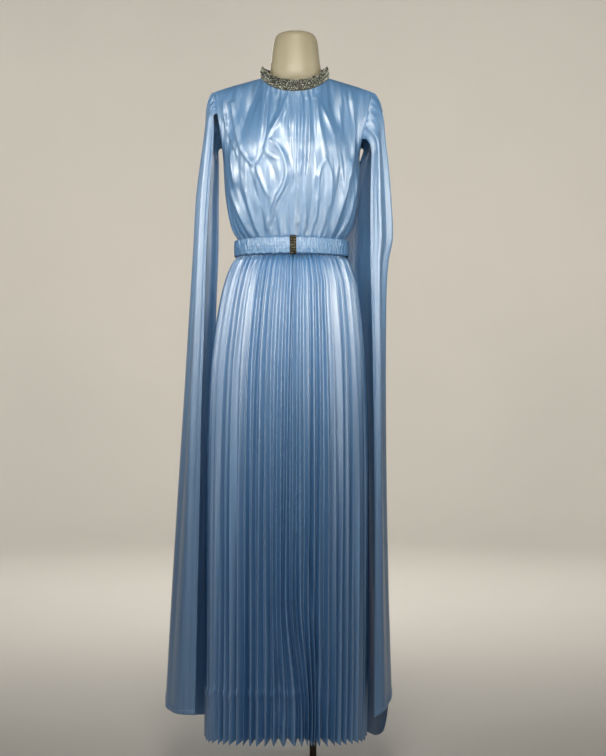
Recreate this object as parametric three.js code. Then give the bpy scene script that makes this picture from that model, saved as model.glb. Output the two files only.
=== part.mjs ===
// A full-length evening dress with open cape sleeves, an accordion-pleated skirt and a shirred
// belt, put on a limbless dress form that stands on a round plate.
//
// Millimetres, +Z up, the front faces -Y. X = 0 is the middle of the form's shoulders and
// Z = 0 is the floor. "Right" and "left" are the wearer's: the wearer's right is -X.
//
// Every cloth panel is one wall: a smooth base surface, a lift along its normal for the pleats,
// gathers and folds, and the wall's depth behind that. The base surfaces are worked out from
// the section tables below.
import * as THREE from "three";
import { mergeVertices } from "three/addons/utils/BufferGeometryUtils.js";

// ---------------------------------------------------------------- driving dimensions
const CLOTH = 2.0; // wall of the plain cloth
const PLEATED = 3.0; // depth of the pleated wall along the section's normal, about 1.3 across a pleat
const SEAM = 0.34; // gap between two sewn pieces
const WAIST_Z = 1212; // seam of bodice and skirt, under the belt
const UNDERARM_Z = 1421;
const SHOULDER_TIP = { x: 181, y: 0, z: 1573 };
const NECK_X = 4; // the neck stands a little to the wearer's left
const NECK_POINT = { x: 77, y: 0, z: 1606 }; // half the neckline's width, and its height at the side
const NECK_FRONT = { y: -74, z: 1560 };
const NECK_BACK = { y: 60, z: 1604 };
const SHOULDER_SEAM_SHARE = 0.46; // share of a panel's half width that runs along the shoulder seam
const PLEATS = 30; // on the front panel, and as many on the back
const PLEAT_CROWDING = 0.22; // how much closer the pleats stand at the centre than on average
const HEM_Z = 92;
const HEM_FRONT_RISE = 21; // the hem hangs that much higher at the centre front
const HEM_TOOTH = 14; // how far a pleat's outer fold drops below its inner one
const BELT = { bottom: 1194, top: 1230, wall: 3, x: -3, half: 131, front: 105, back: 99 };
const CLASP = { x: 1, width: 15, height: 43, depth: 5, gap: 0.4 };
const NECKBAND = { height: 25, wall: 3, lean: 3, clear: 0.4 };
const POLE = { x: 46, radius: 8 };
const PLATE = { radius: 125, height: 9, chamfer: 2 };
const SOCKET = { radius: 19, height: 36, wall: 6 };
const NECK_DIP = 1.3; // how fast the neckline rises from its centre
const BAND_CROWN = 1.2; // how far the neckband bulges at mid height
const CLASP_STAND = 1.5; // how far the clasp stands forward of the belt's middle
const CLASP_ROUND = 1.2;
const TINY = 1e-6;

// Bodice: sections from the waist to the underarm. x is the section's middle, half its half
// width, front and back its depths.
const BODICE = [
  { z: 1212, x: -3, half: 121, front: 94, back: 88 },
  { z: 1232, x: -3, half: 122, front: 95, back: 89 },
  { z: 1250, x: -3, half: 134, front: 108, back: 102 },
  { z: 1268, x: -2, half: 142, front: 116, back: 107 },
  { z: 1302, x: -1, half: 150, front: 126, back: 109 },
  { z: 1340, x: -1, half: 155, front: 134, back: 108 },
  { z: 1378, x: -2, half: 157, front: 138, back: 106 },
  { z: 1421, x: -4, half: 157, front: 136, back: 105 },
];

// Skirt: the outline of the pleats' outer folds. depth is from an outer fold to an inner one.
const SKIRT = [
  { z: 1212, x: -4, half: 123, front: 97, back: 91, depth: 5 },
  { z: 1192, x: -4, half: 124, front: 98, back: 92, depth: 5.5 },
  { z: 1184, x: -4, half: 135, front: 107, back: 104, depth: 6.5 },
  { z: 1160, x: -5, half: 144, front: 114, back: 115, depth: 7.5 },
  { z: 1134, x: -5, half: 153, front: 121, back: 124, depth: 8.5 },
  { z: 1099, x: -7, half: 160, front: 127, back: 134, depth: 9 },
  { z: 1030, x: -9, half: 170, front: 135, back: 144, depth: 10 },
  { z: 945, x: -11, half: 179, front: 141, back: 149, depth: 11 },
  { z: 820, x: -12, half: 185, front: 147, back: 151, depth: 12.5 },
  { z: 639, x: -13, half: 188, front: 152, back: 154, depth: 15 },
  { z: 430, x: -14, half: 188, front: 156, back: 157, depth: 17.5 },
  { z: 240, x: -15, half: 188, front: 160, back: 160, depth: 21 },
  { z: 92, x: -17, half: 187, front: 163, back: 162, depth: 24 },
];

// Cape sleeves: a sheet that hangs open towards the body. outer, front and back are the
// distances from X = 0 of the outer fold, the free front edge and the free back edge, and
// frontY and backY are those edges' places along Y.
const RIGHT_SLEEVE = [
  { z: 1520, outer: 205, front: 180, back: 176, frontY: -36, backY: 50 },
  { z: 1467, outer: 210, front: 180, back: 175, frontY: -40, backY: 58 },
  { z: 1398, outer: 219, front: 185, back: 174, frontY: -42, backY: 62 },
  { z: 1329, outer: 227, front: 190, back: 175, frontY: -44, backY: 66 },
  { z: 1214, outer: 233, front: 196, back: 176, frontY: -46, backY: 72 },
  { z: 1099, outer: 240, front: 199, back: 181, frontY: -49, backY: 80 },
  { z: 984, outer: 247, front: 202, back: 185, frontY: -53, backY: 90 },
  { z: 869, outer: 254, front: 206, back: 188, frontY: -57, backY: 100 },
  { z: 639, outer: 269, front: 210, back: 194, frontY: -62, backY: 110 },
  { z: 400, outer: 284, front: 215, back: 199, frontY: -66, backY: 118 },
  { z: 120, outer: 300, front: 220, back: 205, frontY: -70, backY: 124 },
];
const LEFT_SLEEVE = [
  { z: 1520, outer: 215, front: 181, back: 178, frontY: -36, backY: 50 },
  { z: 1467, outer: 218, front: 181, back: 172, frontY: -42, backY: 64 },
  { z: 1398, outer: 226, front: 178, back: 150, frontY: -46, backY: 76 },
  { z: 1329, outer: 232, front: 176, back: 132, frontY: -48, backY: 88 },
  { z: 1237, outer: 236, front: 176, back: 122, frontY: -50, backY: 96 },
  { z: 1180, outer: 225, front: 176, back: 124, frontY: -54, backY: 102 },
  { z: 1099, outer: 220, front: 178, back: 130, frontY: -58, backY: 110 },
  { z: 869, outer: 219, front: 182, back: 140, frontY: -66, backY: 122 },
  { z: 639, outer: 222, front: 184, back: 146, frontY: -70, backY: 128 },
  { z: 400, outer: 228, front: 184, back: 150, frontY: -72, backY: 132 },
  { z: 70, outer: 239, front: 182, back: 152, frontY: -74, backY: 136 },
];
// Hem heights along a sleeve, from its front edge (share 0) to its back edge (share 1).
const RIGHT_HEM = [
  { z: 0, hem: 158 },
  { z: 0.42, hem: 164 },
  { z: 0.48, hem: 187 },
  { z: 0.6, hem: 185 },
  { z: 0.8, hem: 122 },
  { z: 1, hem: 108 },
];
const LEFT_HEM = [
  { z: 0, hem: 153 },
  { z: 0.3, hem: 180 },
  { z: 0.46, hem: 199 },
  { z: 0.62, hem: 186 },
  { z: 0.73, hem: 78 },
  { z: 1, hem: 69 },
];
const SLEEVE_FOLDS = 5;
const SLEEVE_FOLD_HEIGHT = 5.5; // half the depth of a fold in the sleeve
const SLEEVE_HEAD_DROP = 62; // the gathered head turns down over this height
// Where the sleeve's front edge starts, as a share up the armhole
const FRONT_NOTCH = { right: 0.62, left: 0.3 };
const BACK_NOTCH = 0.22;

// Dress form: sections of its smooth shell, from its foot to the flat top of its neck.
const FORM = [
  { z: 822, x: -8, half: 136, front: 92, back: 98 },
  { z: 830, x: -8, half: 141, front: 96, back: 104 },
  { z: 880, x: -8, half: 145, front: 99, back: 112 },
  { z: 950, x: -8, half: 148, front: 102, back: 120 },
  { z: 1010, x: -8, half: 147, front: 103, back: 120 },
  { z: 1070, x: -7, half: 141, front: 101, back: 112 },
  { z: 1130, x: -6, half: 129, front: 95, back: 96 },
  { z: 1180, x: -4, half: 113, front: 86, back: 80 },
  { z: 1215, x: -3, half: 107, front: 81, back: 75 },
  { z: 1265, x: -3, half: 113, front: 90, back: 79 },
  { z: 1320, x: -3, half: 123, front: 106, back: 84 },
  { z: 1365, x: -3, half: 130, front: 120, back: 88 },
  { z: 1400, x: -3, half: 134, front: 118, back: 88 },
  { z: 1440, x: -2, half: 134, front: 100, back: 84 },
  { z: 1480, x: -1, half: 137, front: 80, back: 76 },
  { z: 1512, x: 0, half: 144, front: 64, back: 63 },
  { z: 1538, x: 0, half: 151, front: 50, back: 50 },
  { z: 1553, x: 0, half: 152, front: 40, back: 41 },
  { z: 1565, x: 1, half: 143, front: 33, back: 34 },
  { z: 1574, x: 2, half: 124, front: 31, back: 28 },
  { z: 1583, x: 4, half: 97, front: 32, back: 28 },
  { z: 1592, x: 5, half: 75, front: 37, back: 34 },
  { z: 1603, x: 6, half: 64, front: 41, back: 38 },
  { z: 1620, x: 6, half: 59.5, front: 43, back: 41 },
  { z: 1640, x: 6, half: 56.5, front: 43, back: 41 },
  { z: 1662, x: 6, half: 54, front: 42, back: 40 },
  { z: 1682, x: 6, half: 52, front: 41, back: 39 },
  { z: 1695, x: 6, half: 49, front: 38, back: 37 },
  { z: 1703, x: 6, half: 44, front: 34, back: 33 },
  { z: 1709, x: 6, half: 35, front: 27, back: 26 },
];

// Largest folds of the bodice front: a ridge (height above 0) or a trough between two places
// on the front, given by X and Z, and its half width.
const FRONT_FOLDS = [
  { x0: -160, z0: 1556, x1: -100, z1: 1412, width: 19, height: 6 },
  { x0: -62, z0: 1580, x1: -90, z1: 1412, width: 17, height: 6 },
  { x0: -112, z0: 1548, x1: -94, z1: 1440, width: 20, height: -5 },
  { x0: -38, z0: 1560, x1: -58, z1: 1400, width: 15, height: -4 },
  { x0: 74, z0: 1585, x1: 98, z1: 1440, width: 17, height: 6 },
  { x0: 160, z0: 1554, x1: 114, z1: 1380, width: 19, height: 6 },
  { x0: 116, z0: 1548, x1: 106, z1: 1450, width: 20, height: -5 },
  { x0: 34, z0: 1555, x1: 54, z1: 1400, width: 15, height: -4 },
  { x0: -124, z0: 1400, x1: -98, z1: 1250, width: 15, height: 6 },
  { x0: -64, z0: 1390, x1: -46, z1: 1250, width: 14, height: 6 },
  { x0: 12, z0: 1400, x1: 10, z1: 1250, width: 13, height: 5 },
  { x0: 68, z0: 1390, x1: 48, z1: 1250, width: 14, height: 6 },
  { x0: 120, z0: 1400, x1: 94, z1: 1250, width: 15, height: 6 },
];
const WAIST_GATHERS = { count: 13, height: 2.6, reach: 0.36 }; // on each of the two bodice panels
const NECK_GATHERS = { count: 9, height: 2.0, from: 0.7 };

// ---------------------------------------------------------------- small helpers
const DEGREE = Math.PI / 180;
const clamp01 = (t) => Math.min(1, Math.max(0, t));
const smooth = (from, to, t) => {
  const share = clamp01((t - from) / (to - from));
  return share * share * (3 - 2 * share);
};

// The value of a table's column at height z, on a smooth curve through the rows.
function column(table, name, z) {
  const rows = table[0].z < table[table.length - 1].z ? table : [...table].reverse();
  const last = rows.length - 1;
  if (z <= rows[0].z) return rows[0][name];
  if (z >= rows[last].z) return rows[last][name];
  const i = rows.findIndex((row) => row.z > z) - 1;
  const slope = (j) => {
    const a = Math.max(0, j - 1);
    const b = Math.min(last, j + 1);
    return (rows[b][name] - rows[a][name]) / (rows[b].z - rows[a].z);
  };
  const span = rows[i + 1].z - rows[i].z;
  const t = (z - rows[i].z) / span;
  const h00 = (1 + 2 * t) * (1 - t) * (1 - t);
  const h10 = t * (1 - t) * (1 - t);
  const h01 = t * t * (3 - 2 * t);
  const h11 = t * t * (t - 1);
  return (
    h00 * rows[i][name] + h10 * span * slope(i) +
    h01 * rows[i + 1][name] + h11 * span * slope(i + 1)
  );
}

// A point on a section of a table at height z. The angle is 0 at the centre front, 90 at the
// wearer's left side and 180 at the centre back. inset moves the whole section inwards.
function onSection(table, z, degrees, inset = 0) {
  const angle = degrees * DEGREE;
  const depth = column(table, Math.cos(angle) > 0 ? "front" : "back", z) - inset;
  return new THREE.Vector3(
    column(table, "x", z) + (column(table, "half", z) - inset) * Math.sin(angle),
    -depth * Math.cos(angle),
    z,
  );
}

// The unit normal of a surface at (u, v), by differences.
function normalAt(surface, u, v) {
  const step = 1e-3;
  const along = surface(u + step, v).sub(surface(u - step, v));
  const v0 = Math.max(0, v - step);
  const v1 = Math.min(1, v + step);
  const up = surface(u, v1).sub(surface(u, v0));
  return along.cross(up).normalize();
}

// Faces turned so that the closed mesh has a positive volume.
function facingOut(positions, triangles) {
  let volume = 0;
  const [a, b, c] = [new THREE.Vector3(), new THREE.Vector3(), new THREE.Vector3()];
  for (const [i, j, k] of triangles) {
    a.fromArray(positions, 3 * i);
    b.fromArray(positions, 3 * j);
    c.fromArray(positions, 3 * k);
    volume += a.dot(b.cross(c)) / 6;
  }
  return volume > 0 ? triangles : triangles.map(([i, j, k]) => [i, k, j]);
}

function geometryOf(positions, triangles) {
  const geometry = new THREE.BufferGeometry();
  geometry.setAttribute("position", new THREE.Float32BufferAttribute(positions, 3));
  geometry.setIndex(facingOut(positions, triangles).flat());
  const merged = mergeVertices(geometry, 1e-4);
  merged.computeVertexNormals();
  return merged;
}

// A cloth wall over the parameter grid us x vs. lift raises the outer face above the base
// surface, and the inner face lies wall behind the outer one. A ring closes in u. Up to the
// share levelTo of the height the wall is offset level, so that a seam's edge stays flat.
// frontOrBack keeps the wall on its own side of the plane of the side and shoulder seams,
// and facing is -1 where the base's normal points inwards.
function clothWall(panel) {
  const { base, lift, us, vs, wall } = panel;
  const { ring = false, levelTo = -1, frontOrBack = 0, facing = 1 } = panel;
  const positions = [];
  for (const v of vs)
    for (const u of us) {
      const point = base(u, v);
      const normal = normalAt(base, u, v).multiplyScalar(facing);
      if (v <= levelTo) normal.setZ(0).normalize();
      const raised = lift(u, v, point);
      const outer = point.clone().addScaledVector(normal, raised);
      const inner = point.clone().addScaledVector(normal, raised - wall);
      for (const place of [outer, inner]) {
        if (frontOrBack > 0) place.y = Math.min(place.y, -SEAM / 2);
        if (frontOrBack < 0) place.y = Math.max(place.y, SEAM / 2);
        positions.push(place.x, place.y, place.z);
      }
    }
  const n = us.length;
  const last = vs.length - 1;
  const outer = (i, j) => 2 * (j * n + (i % n)); // each place holds an outer and an inner corner
  const inner = (i, j) => outer(i, j) + 1;
  const triangles = [];
  const quad = (a, b, c, d) => triangles.push([a, b, c], [a, c, d]);
  const across = ring ? n : n - 1;
  for (let i = 0; i < across; i++) {
    for (let j = 0; j < last; j++) {
      quad(outer(i, j), outer(i + 1, j), outer(i + 1, j + 1), outer(i, j + 1));
      quad(inner(i, j), inner(i, j + 1), inner(i + 1, j + 1), inner(i + 1, j));
    }
    quad(outer(i, 0), inner(i, 0), inner(i + 1, 0), outer(i + 1, 0));
    quad(outer(i, last), outer(i + 1, last), inner(i + 1, last), inner(i, last));
  }
  if (!ring)
    for (let j = 0; j < last; j++) {
      quad(outer(0, j), outer(0, j + 1), inner(0, j + 1), inner(0, j));
      quad(outer(n - 1, j), inner(n - 1, j), inner(n - 1, j + 1), outer(n - 1, j + 1));
    }
  return geometryOf(positions, triangles);
}

const spread = (from, to, count) =>
  Array.from({ length: count }, (_, i) => from + ((to - from) * i) / (count - 1));

// ---------------------------------------------------------------- bodice
// side is +1 for the front panel and -1 for the back one. u runs from the wearer's right
// side seam (-1) to the left one (1), v from the waist seam (0) to the shoulders (1).
const UNDERARM_V = 0.52;
const ARMHOLE_SCOOP = { front: 52, back: 46 };
// How far the panel's curve leaves the underarm upwards, and reaches the shoulder from below:
// in the middle, and what the shoulder seam and the armhole's edge add to it.
const RISE = { middle: 62, edge: -34 };
const OVER = { edgeX: 6, outY: 16, seamY: 34, edgeY: -14, upZ: 34, seamZ: -16, edgeZ: 14 };

// The panel's upper edge: shoulder seam, neckline, shoulder seam.
function bodiceTop(side, u) {
  const along = (1 - Math.abs(u)) / SHOULDER_SEAM_SHARE;
  if (along < 1) {
    const rise = Math.pow(along, 0.85);
    const neckX = NECK_POINT.x + Math.sign(u) * NECK_X;
    return new THREE.Vector3(
      Math.sign(u) * (SHOULDER_TIP.x + (neckX - SHOULDER_TIP.x) * along),
      SHOULDER_TIP.y + (NECK_POINT.y - SHOULDER_TIP.y) * along,
      SHOULDER_TIP.z + (NECK_POINT.z - SHOULDER_TIP.z) * rise,
    );
  }
  const angle = (u / (1 - SHOULDER_SEAM_SHARE)) * 90 * DEGREE;
  const centre = side > 0 ? NECK_FRONT : NECK_BACK;
  const dip = Math.pow(Math.cos(angle), NECK_DIP);
  return new THREE.Vector3(
    NECK_X + NECK_POINT.x * Math.sin(angle),
    centre.y * Math.cos(angle),
    NECK_POINT.z + (centre.z - NECK_POINT.z) * dip,
  );
}

function bodiceRing(side, u, z) {
  const angle = u * 90;
  return onSection(BODICE, z, side > 0 ? angle : 180 - angle);
}

function bodiceBase(side) {
  return (u, v) => {
    const uu = Math.min(1, Math.max(-1, u));
    if (v <= UNDERARM_V)
      return bodiceRing(side, u, WAIST_Z + SEAM / 2 + (UNDERARM_Z - WAIST_Z) * (v / UNDERARM_V));
    const share = (v - UNDERARM_V) / (1 - UNDERARM_V);
    const foot = bodiceRing(side, u, UNDERARM_Z);
    const top = bodiceTop(side, uu);
    const edge = smooth(0.72, 1, Math.abs(uu)); // the armhole is scooped out of the side
    const neckEnd = 1 - SHOULDER_SEAM_SHARE;
    const seamed = smooth(neckEnd - 0.12, neckEnd + 0.12, Math.abs(uu));
    const scoop = side > 0 ? ARMHOLE_SCOOP.front : ARMHOLE_SCOOP.back;
    const rise = new THREE.Vector3(0, -side * scoop * edge, RISE.middle + RISE.edge * edge);
    const over = new THREE.Vector3(
      Math.sign(uu) * OVER.edgeX * edge,
      side * (OVER.outY + OVER.seamY * seamed + OVER.edgeY * edge),
      OVER.upZ + OVER.seamZ * seamed + OVER.edgeZ * edge,
    );
    const a = foot;
    const b = foot.clone().add(rise);
    const c = top.clone().sub(over);
    const q = 1 - share;
    return new THREE.Vector3()
      .addScaledVector(a, q * q * q)
      .addScaledVector(b, 3 * q * q * share)
      .addScaledVector(c, 3 * q * share * share)
      .addScaledVector(top, share * share * share);
  };
}

// Height of one ridge or trough at a place on the front, with soft ends.
function foldHeight(fold, x, z) {
  const dx = fold.x1 - fold.x0;
  const dz = fold.z1 - fold.z0;
  const along = ((x - fold.x0) * dx + (z - fold.z0) * dz) / (dx * dx + dz * dz);
  const t = clamp01(along);
  const away = Math.hypot(x - fold.x0 - t * dx, z - fold.z0 - t * dz) / fold.width;
  return fold.height * Math.exp(-away * away) * Math.sin(Math.PI * (0.12 + 0.76 * t));
}

// Gathers run into the waist seam and, at the front, into the neckband.
function bodiceLift(side) {
  return (u, v, point) => {
    const ease = 1 - smooth(0.9, 1, Math.abs(u));
    const waist = WAIST_GATHERS.height * (1 - smooth(0.02, WAIST_GATHERS.reach, v)) *
      Math.cos(Math.PI * WAIST_GATHERS.count * (u + 1) + side);
    if (side < 0) return waist * ease;
    const neckShare = u / (1 - SHOULDER_SEAM_SHARE);
    const neck = NECK_GATHERS.height * smooth(NECK_GATHERS.from, 0.96, v) *
      (1 - smooth(0.6, 0.95, Math.abs(neckShare))) * Math.cos(Math.PI * NECK_GATHERS.count * neckShare);
    const folds = FRONT_FOLDS.reduce((sum, fold) => sum + foldHeight(fold, point.x, point.z), 0);
    return (waist + neck) * ease + folds * ease * (1 - smooth(0.88, 1, v)) * smooth(0, 0.08, v);
  };
}

function bodicePanel(side) {
  const low = [0, 0.055, 0.1, 0.17, 0.25, 0.34, 0.43, UNDERARM_V];
  const high = spread(UNDERARM_V, 1, 9).slice(1);
  return clothWall({
    base: bodiceBase(side),
    lift: bodiceLift(side),
    us: spread(-1, 1, side > 0 ? 41 : 31),
    vs: [...low, ...high],
    wall: CLOTH,
    levelTo: 0.06,
    frontOrBack: side,
    facing: side,
  });
}

// ---------------------------------------------------------------- skirt
// Pleat folds are numbered from the wearer's right side (0) to the left (2 * PLEATS), and
// even ones are outer folds. Their spacing is uneven, and near the hem those at the centre
// front swing to the wearer's left.
function pleatShare(fold) {
  const k = fold - PLEATS;
  const uneven = 0.22 * Math.sin(2.4 * k) + 0.14 * Math.sin(5.3 * k + 1);
  const even = (k + (Math.abs(k) < PLEATS ? uneven : 0)) / PLEATS;
  return even - (PLEAT_CROWDING / Math.PI) * Math.sin(Math.PI * even);
}

const PLEAT_LEVELS = [1191, 1180, 1150, 1100, 1020, 890, 720, 520, 320, 180];
const RISE_FROM = 600; // below this height the front rises towards the hem
const SWING = { degrees: 7.5, centre: 5, width: 12, from: 440, to: 140 };

function skirtAngle(side, u, z) {
  const angle = u * 90;
  if (side < 0) return 180 - angle;
  const near = (angle - SWING.centre) / SWING.width;
  return angle + SWING.degrees * Math.exp(-near * near) * smooth(SWING.from, SWING.to, z);
}

function skirtPanel(side) {
  const heights = [WAIST_Z - SEAM / 2, ...PLEAT_LEVELS, HEM_Z];
  const levels = heights.map((height, i) => ({ z: i / (heights.length - 1), height }));
  const shares = Array.from({ length: 2 * PLEATS + 1 }, (_, fold) => pleatShare(fold));
  const isOuterFold = (u) => shares.findIndex((share) => Math.abs(share - u) < TINY) % 2 === 0;
  const base = (u, v) => {
    const level = column(levels, "height", v);
    const angle = skirtAngle(side, u, level);
    const rise = HEM_FRONT_RISE * Math.pow(Math.max(0, Math.cos(angle * DEGREE)), 2);
    const z = level + rise * smooth(RISE_FROM, HEM_Z, level);
    return onSection(SKIRT, z, angle, column(SKIRT, "depth", z) / 2);
  };
  const lift = (u, v, point) => (isOuterFold(u) ? 0.5 : -0.5) * column(SKIRT, "depth", point.z);
  const panel = { base, lift, us: shares, vs: levels.map((row) => row.z), wall: PLEATED };
  return dropTeeth(clothWall({ ...panel, levelTo: 1, frontOrBack: side, facing: -side }));
}

// The outer folds of the pleats hang lower at the hem than the inner ones.
function dropTeeth(geometry) {
  const place = geometry.getAttribute("position");
  for (let i = 0; i < place.count; i++) {
    const [x, y, z] = [place.getX(i), place.getY(i), place.getZ(i)];
    if (z > HEM_Z + HEM_FRONT_RISE + 2) continue;
    const out = sectionShare(x, y, z);
    place.setZ(i, z + HEM_TOOTH * (1 - out));
  }
  return geometry;
}

// 1 on the outline of the outer folds and 0 on that of the inner ones.
function sectionShare(x, y, z) {
  const depth = y < 0 ? column(SKIRT, "front", z) : column(SKIRT, "back", z);
  const half = column(SKIRT, "half", z);
  const reach = Math.hypot((x - column(SKIRT, "x", z)) / half, y / depth);
  const fold = (2 * column(SKIRT, "depth", z)) / (half + depth);
  return clamp01(1 - (1 - reach) / fold);
}

// ---------------------------------------------------------------- cape sleeves
// side is -1 for the wearer's right sleeve and +1 for the left. u runs from the front edge
// (-1) over the outer fold (0) to the back edge (1), v from the armhole (0) to the hem (1).
function sleeveSection(side, table, u, z) {
  const angle = Math.min(1, Math.max(-1, u)) * 90 * DEGREE;
  const outer = column(table, "outer", z) - SLEEVE_FOLD_HEIGHT;
  const edge = column(table, u < 0 ? "front" : "back", z);
  const depth = u < 0 ? -column(table, "frontY", z) : column(table, "backY", z);
  return new THREE.Vector3(side * (edge + (outer - edge) * Math.cos(angle)), depth * Math.sin(angle), z);
}

// The armhole edge of the two bodice panels, where the sleeve's head is sewn on.
function armhole(side, u) {
  const notch = u > 0 ? BACK_NOTCH : side < 0 ? FRONT_NOTCH.right : FRONT_NOTCH.left;
  const share = 1 - Math.abs(u) * (1 - notch);
  const panel = bodiceBase(u < 0 ? 1 : -1);
  const v = UNDERARM_V + (1 - UNDERARM_V) * share;
  const outwards = normalAt(panel, side, v).setZ(0);
  if (outwards.x * side < 0) outwards.negate();
  const lap = smooth(0.1, 0.6, u);
  const edge = panel(side, v).addScaledVector(outwards, (CLOTH + SEAM) * lap);
  edge.x += side * (SEAM + 0.6) * (1 - lap);
  return edge;
}

const HEAD_V = 0.1;
// The sleeve leaves the armhole this far outwards and upwards, and comes down to its first
// section from this share of the drop.
const HEAD_CURVE = { out: 11, fore: 8, up: 1.5, down: 0.55 };

function sleeveBase(side, table, hems) {
  return (u, v) => {
    const start = armhole(side, Math.min(1, Math.max(-1, u)));
    const drop = SLEEVE_HEAD_DROP * (1 - 0.35 * Math.abs(u));
    const headZ = start.z - drop;
    const foot = sleeveSection(side, table, u, headZ);
    if (v < HEAD_V) {
      const t = v / HEAD_V;
      const q = 1 - t;
      const leave = new THREE.Vector3(side * HEAD_CURVE.out, HEAD_CURVE.fore * u, HEAD_CURVE.up);
      const out = start.clone().add(leave);
      const down = foot.clone().add(new THREE.Vector3(0, 0, drop * HEAD_CURVE.down));
      return new THREE.Vector3()
        .addScaledVector(start, q * q * q)
        .addScaledVector(out, 3 * q * q * t)
        .addScaledVector(down, 3 * q * t * t)
        .addScaledVector(foot, t * t * t);
    }
    const hem = column(hems, "hem", (u + 1) / 2);
    const z = headZ + (hem - headZ) * ((v - HEAD_V) / (1 - HEAD_V));
    return sleeveSection(side, table, u, z);
  };
}

function sleeveLift(side) {
  return (u, v) => {
    const uneven = u + 0.05 * Math.sin(4.1 * u + side) + 0.04 * v * Math.sin(6 * u);
    const wave = Math.sin(Math.PI * SLEEVE_FOLDS * uneven + 0.9 * side);
    const grown = 0.25 + 0.75 * smooth(0.02, 0.3, v);
    return SLEEVE_FOLD_HEIGHT * wave * grown * (0.75 + 0.25 * Math.cos(3 * u)) * smooth(0, 0.06, v);
  };
}

function sleeve(side, table, hems) {
  return clothWall({
    base: sleeveBase(side, table, hems),
    lift: sleeveLift(side),
    us: spread(-1, 1, 31),
    vs: [0, 0.03, 0.06, HEAD_V, 0.14, 0.2, 0.3, 0.42, 0.55, 0.68, 0.8, 0.91, 1],
    wall: CLOTH,
    facing: -side,
  });
}

// ---------------------------------------------------------------- neckband, belt, clasp
function neckband() {
  const base = (u, v) => {
    const angle = u * 360 * DEGREE;
    const front = Math.cos(angle) > 0;
    const centre = front ? NECK_FRONT : NECK_BACK;
    const dip = Math.pow(Math.abs(Math.cos(angle)), NECK_DIP);
    const inset = NECKBAND.lean * v;
    const foot = NECK_POINT.z + (centre.z - NECK_POINT.z) * dip + NECKBAND.clear + CLOTH / 2;
    return new THREE.Vector3(
      NECK_X + (NECK_POINT.x - inset) * Math.sin(angle),
      -(Math.abs(centre.y) - inset) * Math.cos(angle),
      foot + NECKBAND.height * v,
    );
  };
  return clothWall({
    base,
    lift: (u, v) => BAND_CROWN * Math.sin(Math.PI * v),
    us: spread(0, 1, 41).slice(0, 40),
    vs: [0, 0.33, 0.67, 1],
    wall: NECKBAND.wall,
    ring: true,
  });
}

function belt() {
  const gapEnd = (way) =>
    Math.asin((CLASP.x - BELT.x + way * (CLASP.width / 2 + CLASP.gap)) / BELT.half) / (2 * Math.PI);
  const section = [{ z: BELT.bottom, ...BELT }, { z: BELT.top, ...BELT }];
  return clothWall({
    base: (u, v) => onSection(section, BELT.bottom + (BELT.top - BELT.bottom) * v, u * 360),
    lift: () => 0,
    us: spread(gapEnd(1), 1 + gapEnd(-1), 49),
    vs: [0, 0.5, 1],
    wall: BELT.wall,
  });
}

// A flat box with rounded upright edges, from its size and its lowest front corner.
function roundedBar(width, depth, height, round) {
  const outline = new THREE.Shape();
  const [x, y] = [width / 2 - round, depth / 2 - round];
  outline.absarc(x, y, round, 0, Math.PI / 2);
  outline.absarc(-x, y, round, Math.PI / 2, Math.PI);
  outline.absarc(-x, -y, round, Math.PI, 1.5 * Math.PI);
  outline.absarc(x, -y, round, 1.5 * Math.PI, 2 * Math.PI);
  return new THREE.ExtrudeGeometry(outline, { depth: height, bevelEnabled: false, curveSegments: 3 });
}

// ---------------------------------------------------------------- form and stand
function formShell() {
  const levels = FORM.map((row) => row.z);
  const around = 32;
  const positions = [];
  for (const z of levels)
    for (let i = 0; i < around; i++)
      positions.push(...onSection(FORM, z, (360 * i) / around).toArray());
  const triangles = [];
  for (let j = 0; j < levels.length - 1; j++)
    for (let i = 0; i < around; i++) {
      const [a, b] = [j * around + i, j * around + ((i + 1) % around)];
      triangles.push([a, b, b + around], [a, b + around, a + around]);
    }
  const top = (levels.length - 1) * around;
  for (let i = 1; i < around - 1; i++) {
    triangles.push([0, i + 1, i]);
    triangles.push([top, top + i, top + i + 1]);
  }
  return geometryOf(positions, triangles);
}

// A solid of revolution about Z, from the radius and height of its profile's corners.
function turned(profile, segments) {
  const points = profile.map(([radius, height]) => new THREE.Vector2(radius, height));
  const lathe = new THREE.LatheGeometry(points, segments).rotateX(Math.PI / 2);
  lathe.deleteAttribute("normal");
  lathe.deleteAttribute("uv");
  return mergeVertices(lathe, 1e-3);
}

const formFoot = FORM[0].z;
const socketFoot = formFoot - SOCKET.height;
const poleTop = socketFoot - SEAM;

const plate = turned([
  [0, 0],
  [PLATE.radius, 0],
  [PLATE.radius, PLATE.height - PLATE.chamfer],
  [PLATE.radius - PLATE.chamfer, PLATE.height],
  [0, PLATE.height],
], 48);
const pole = turned([
  [0, PLATE.height + SEAM],
  [POLE.radius, PLATE.height + SEAM],
  [POLE.radius, poleTop],
  [0, poleTop],
], 16);
const socket = turned([
  [0, socketFoot],
  [POLE.radius + SOCKET.wall, socketFoot],
  [SOCKET.radius, formFoot - SOCKET.wall],
  [SOCKET.radius, formFoot - SEAM],
  [0, formFoot - SEAM],
], 20);

// ---------------------------------------------------------------- the object
const satin = () => new THREE.MeshStandardMaterial({
  color: 0x86aad6, roughness: 0.3, metalness: 0.25, side: THREE.DoubleSide,
});
const shirred = new THREE.MeshStandardMaterial({ color: 0x8fb0d8, roughness: 0.55, metalness: 0.1 });
const beaded = new THREE.MeshStandardMaterial({ color: 0xb6b3a4, roughness: 0.3, metalness: 0.7 });
const brass = new THREE.MeshStandardMaterial({ color: 0x6a5a2c, roughness: 0.3, metalness: 0.9 });
const shell = new THREE.MeshStandardMaterial({ color: 0xe6dcc0, roughness: 0.4, metalness: 0 });
const steel = new THREE.MeshStandardMaterial({ color: 0x4a423b, roughness: 0.35, metalness: 0.8 });

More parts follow.
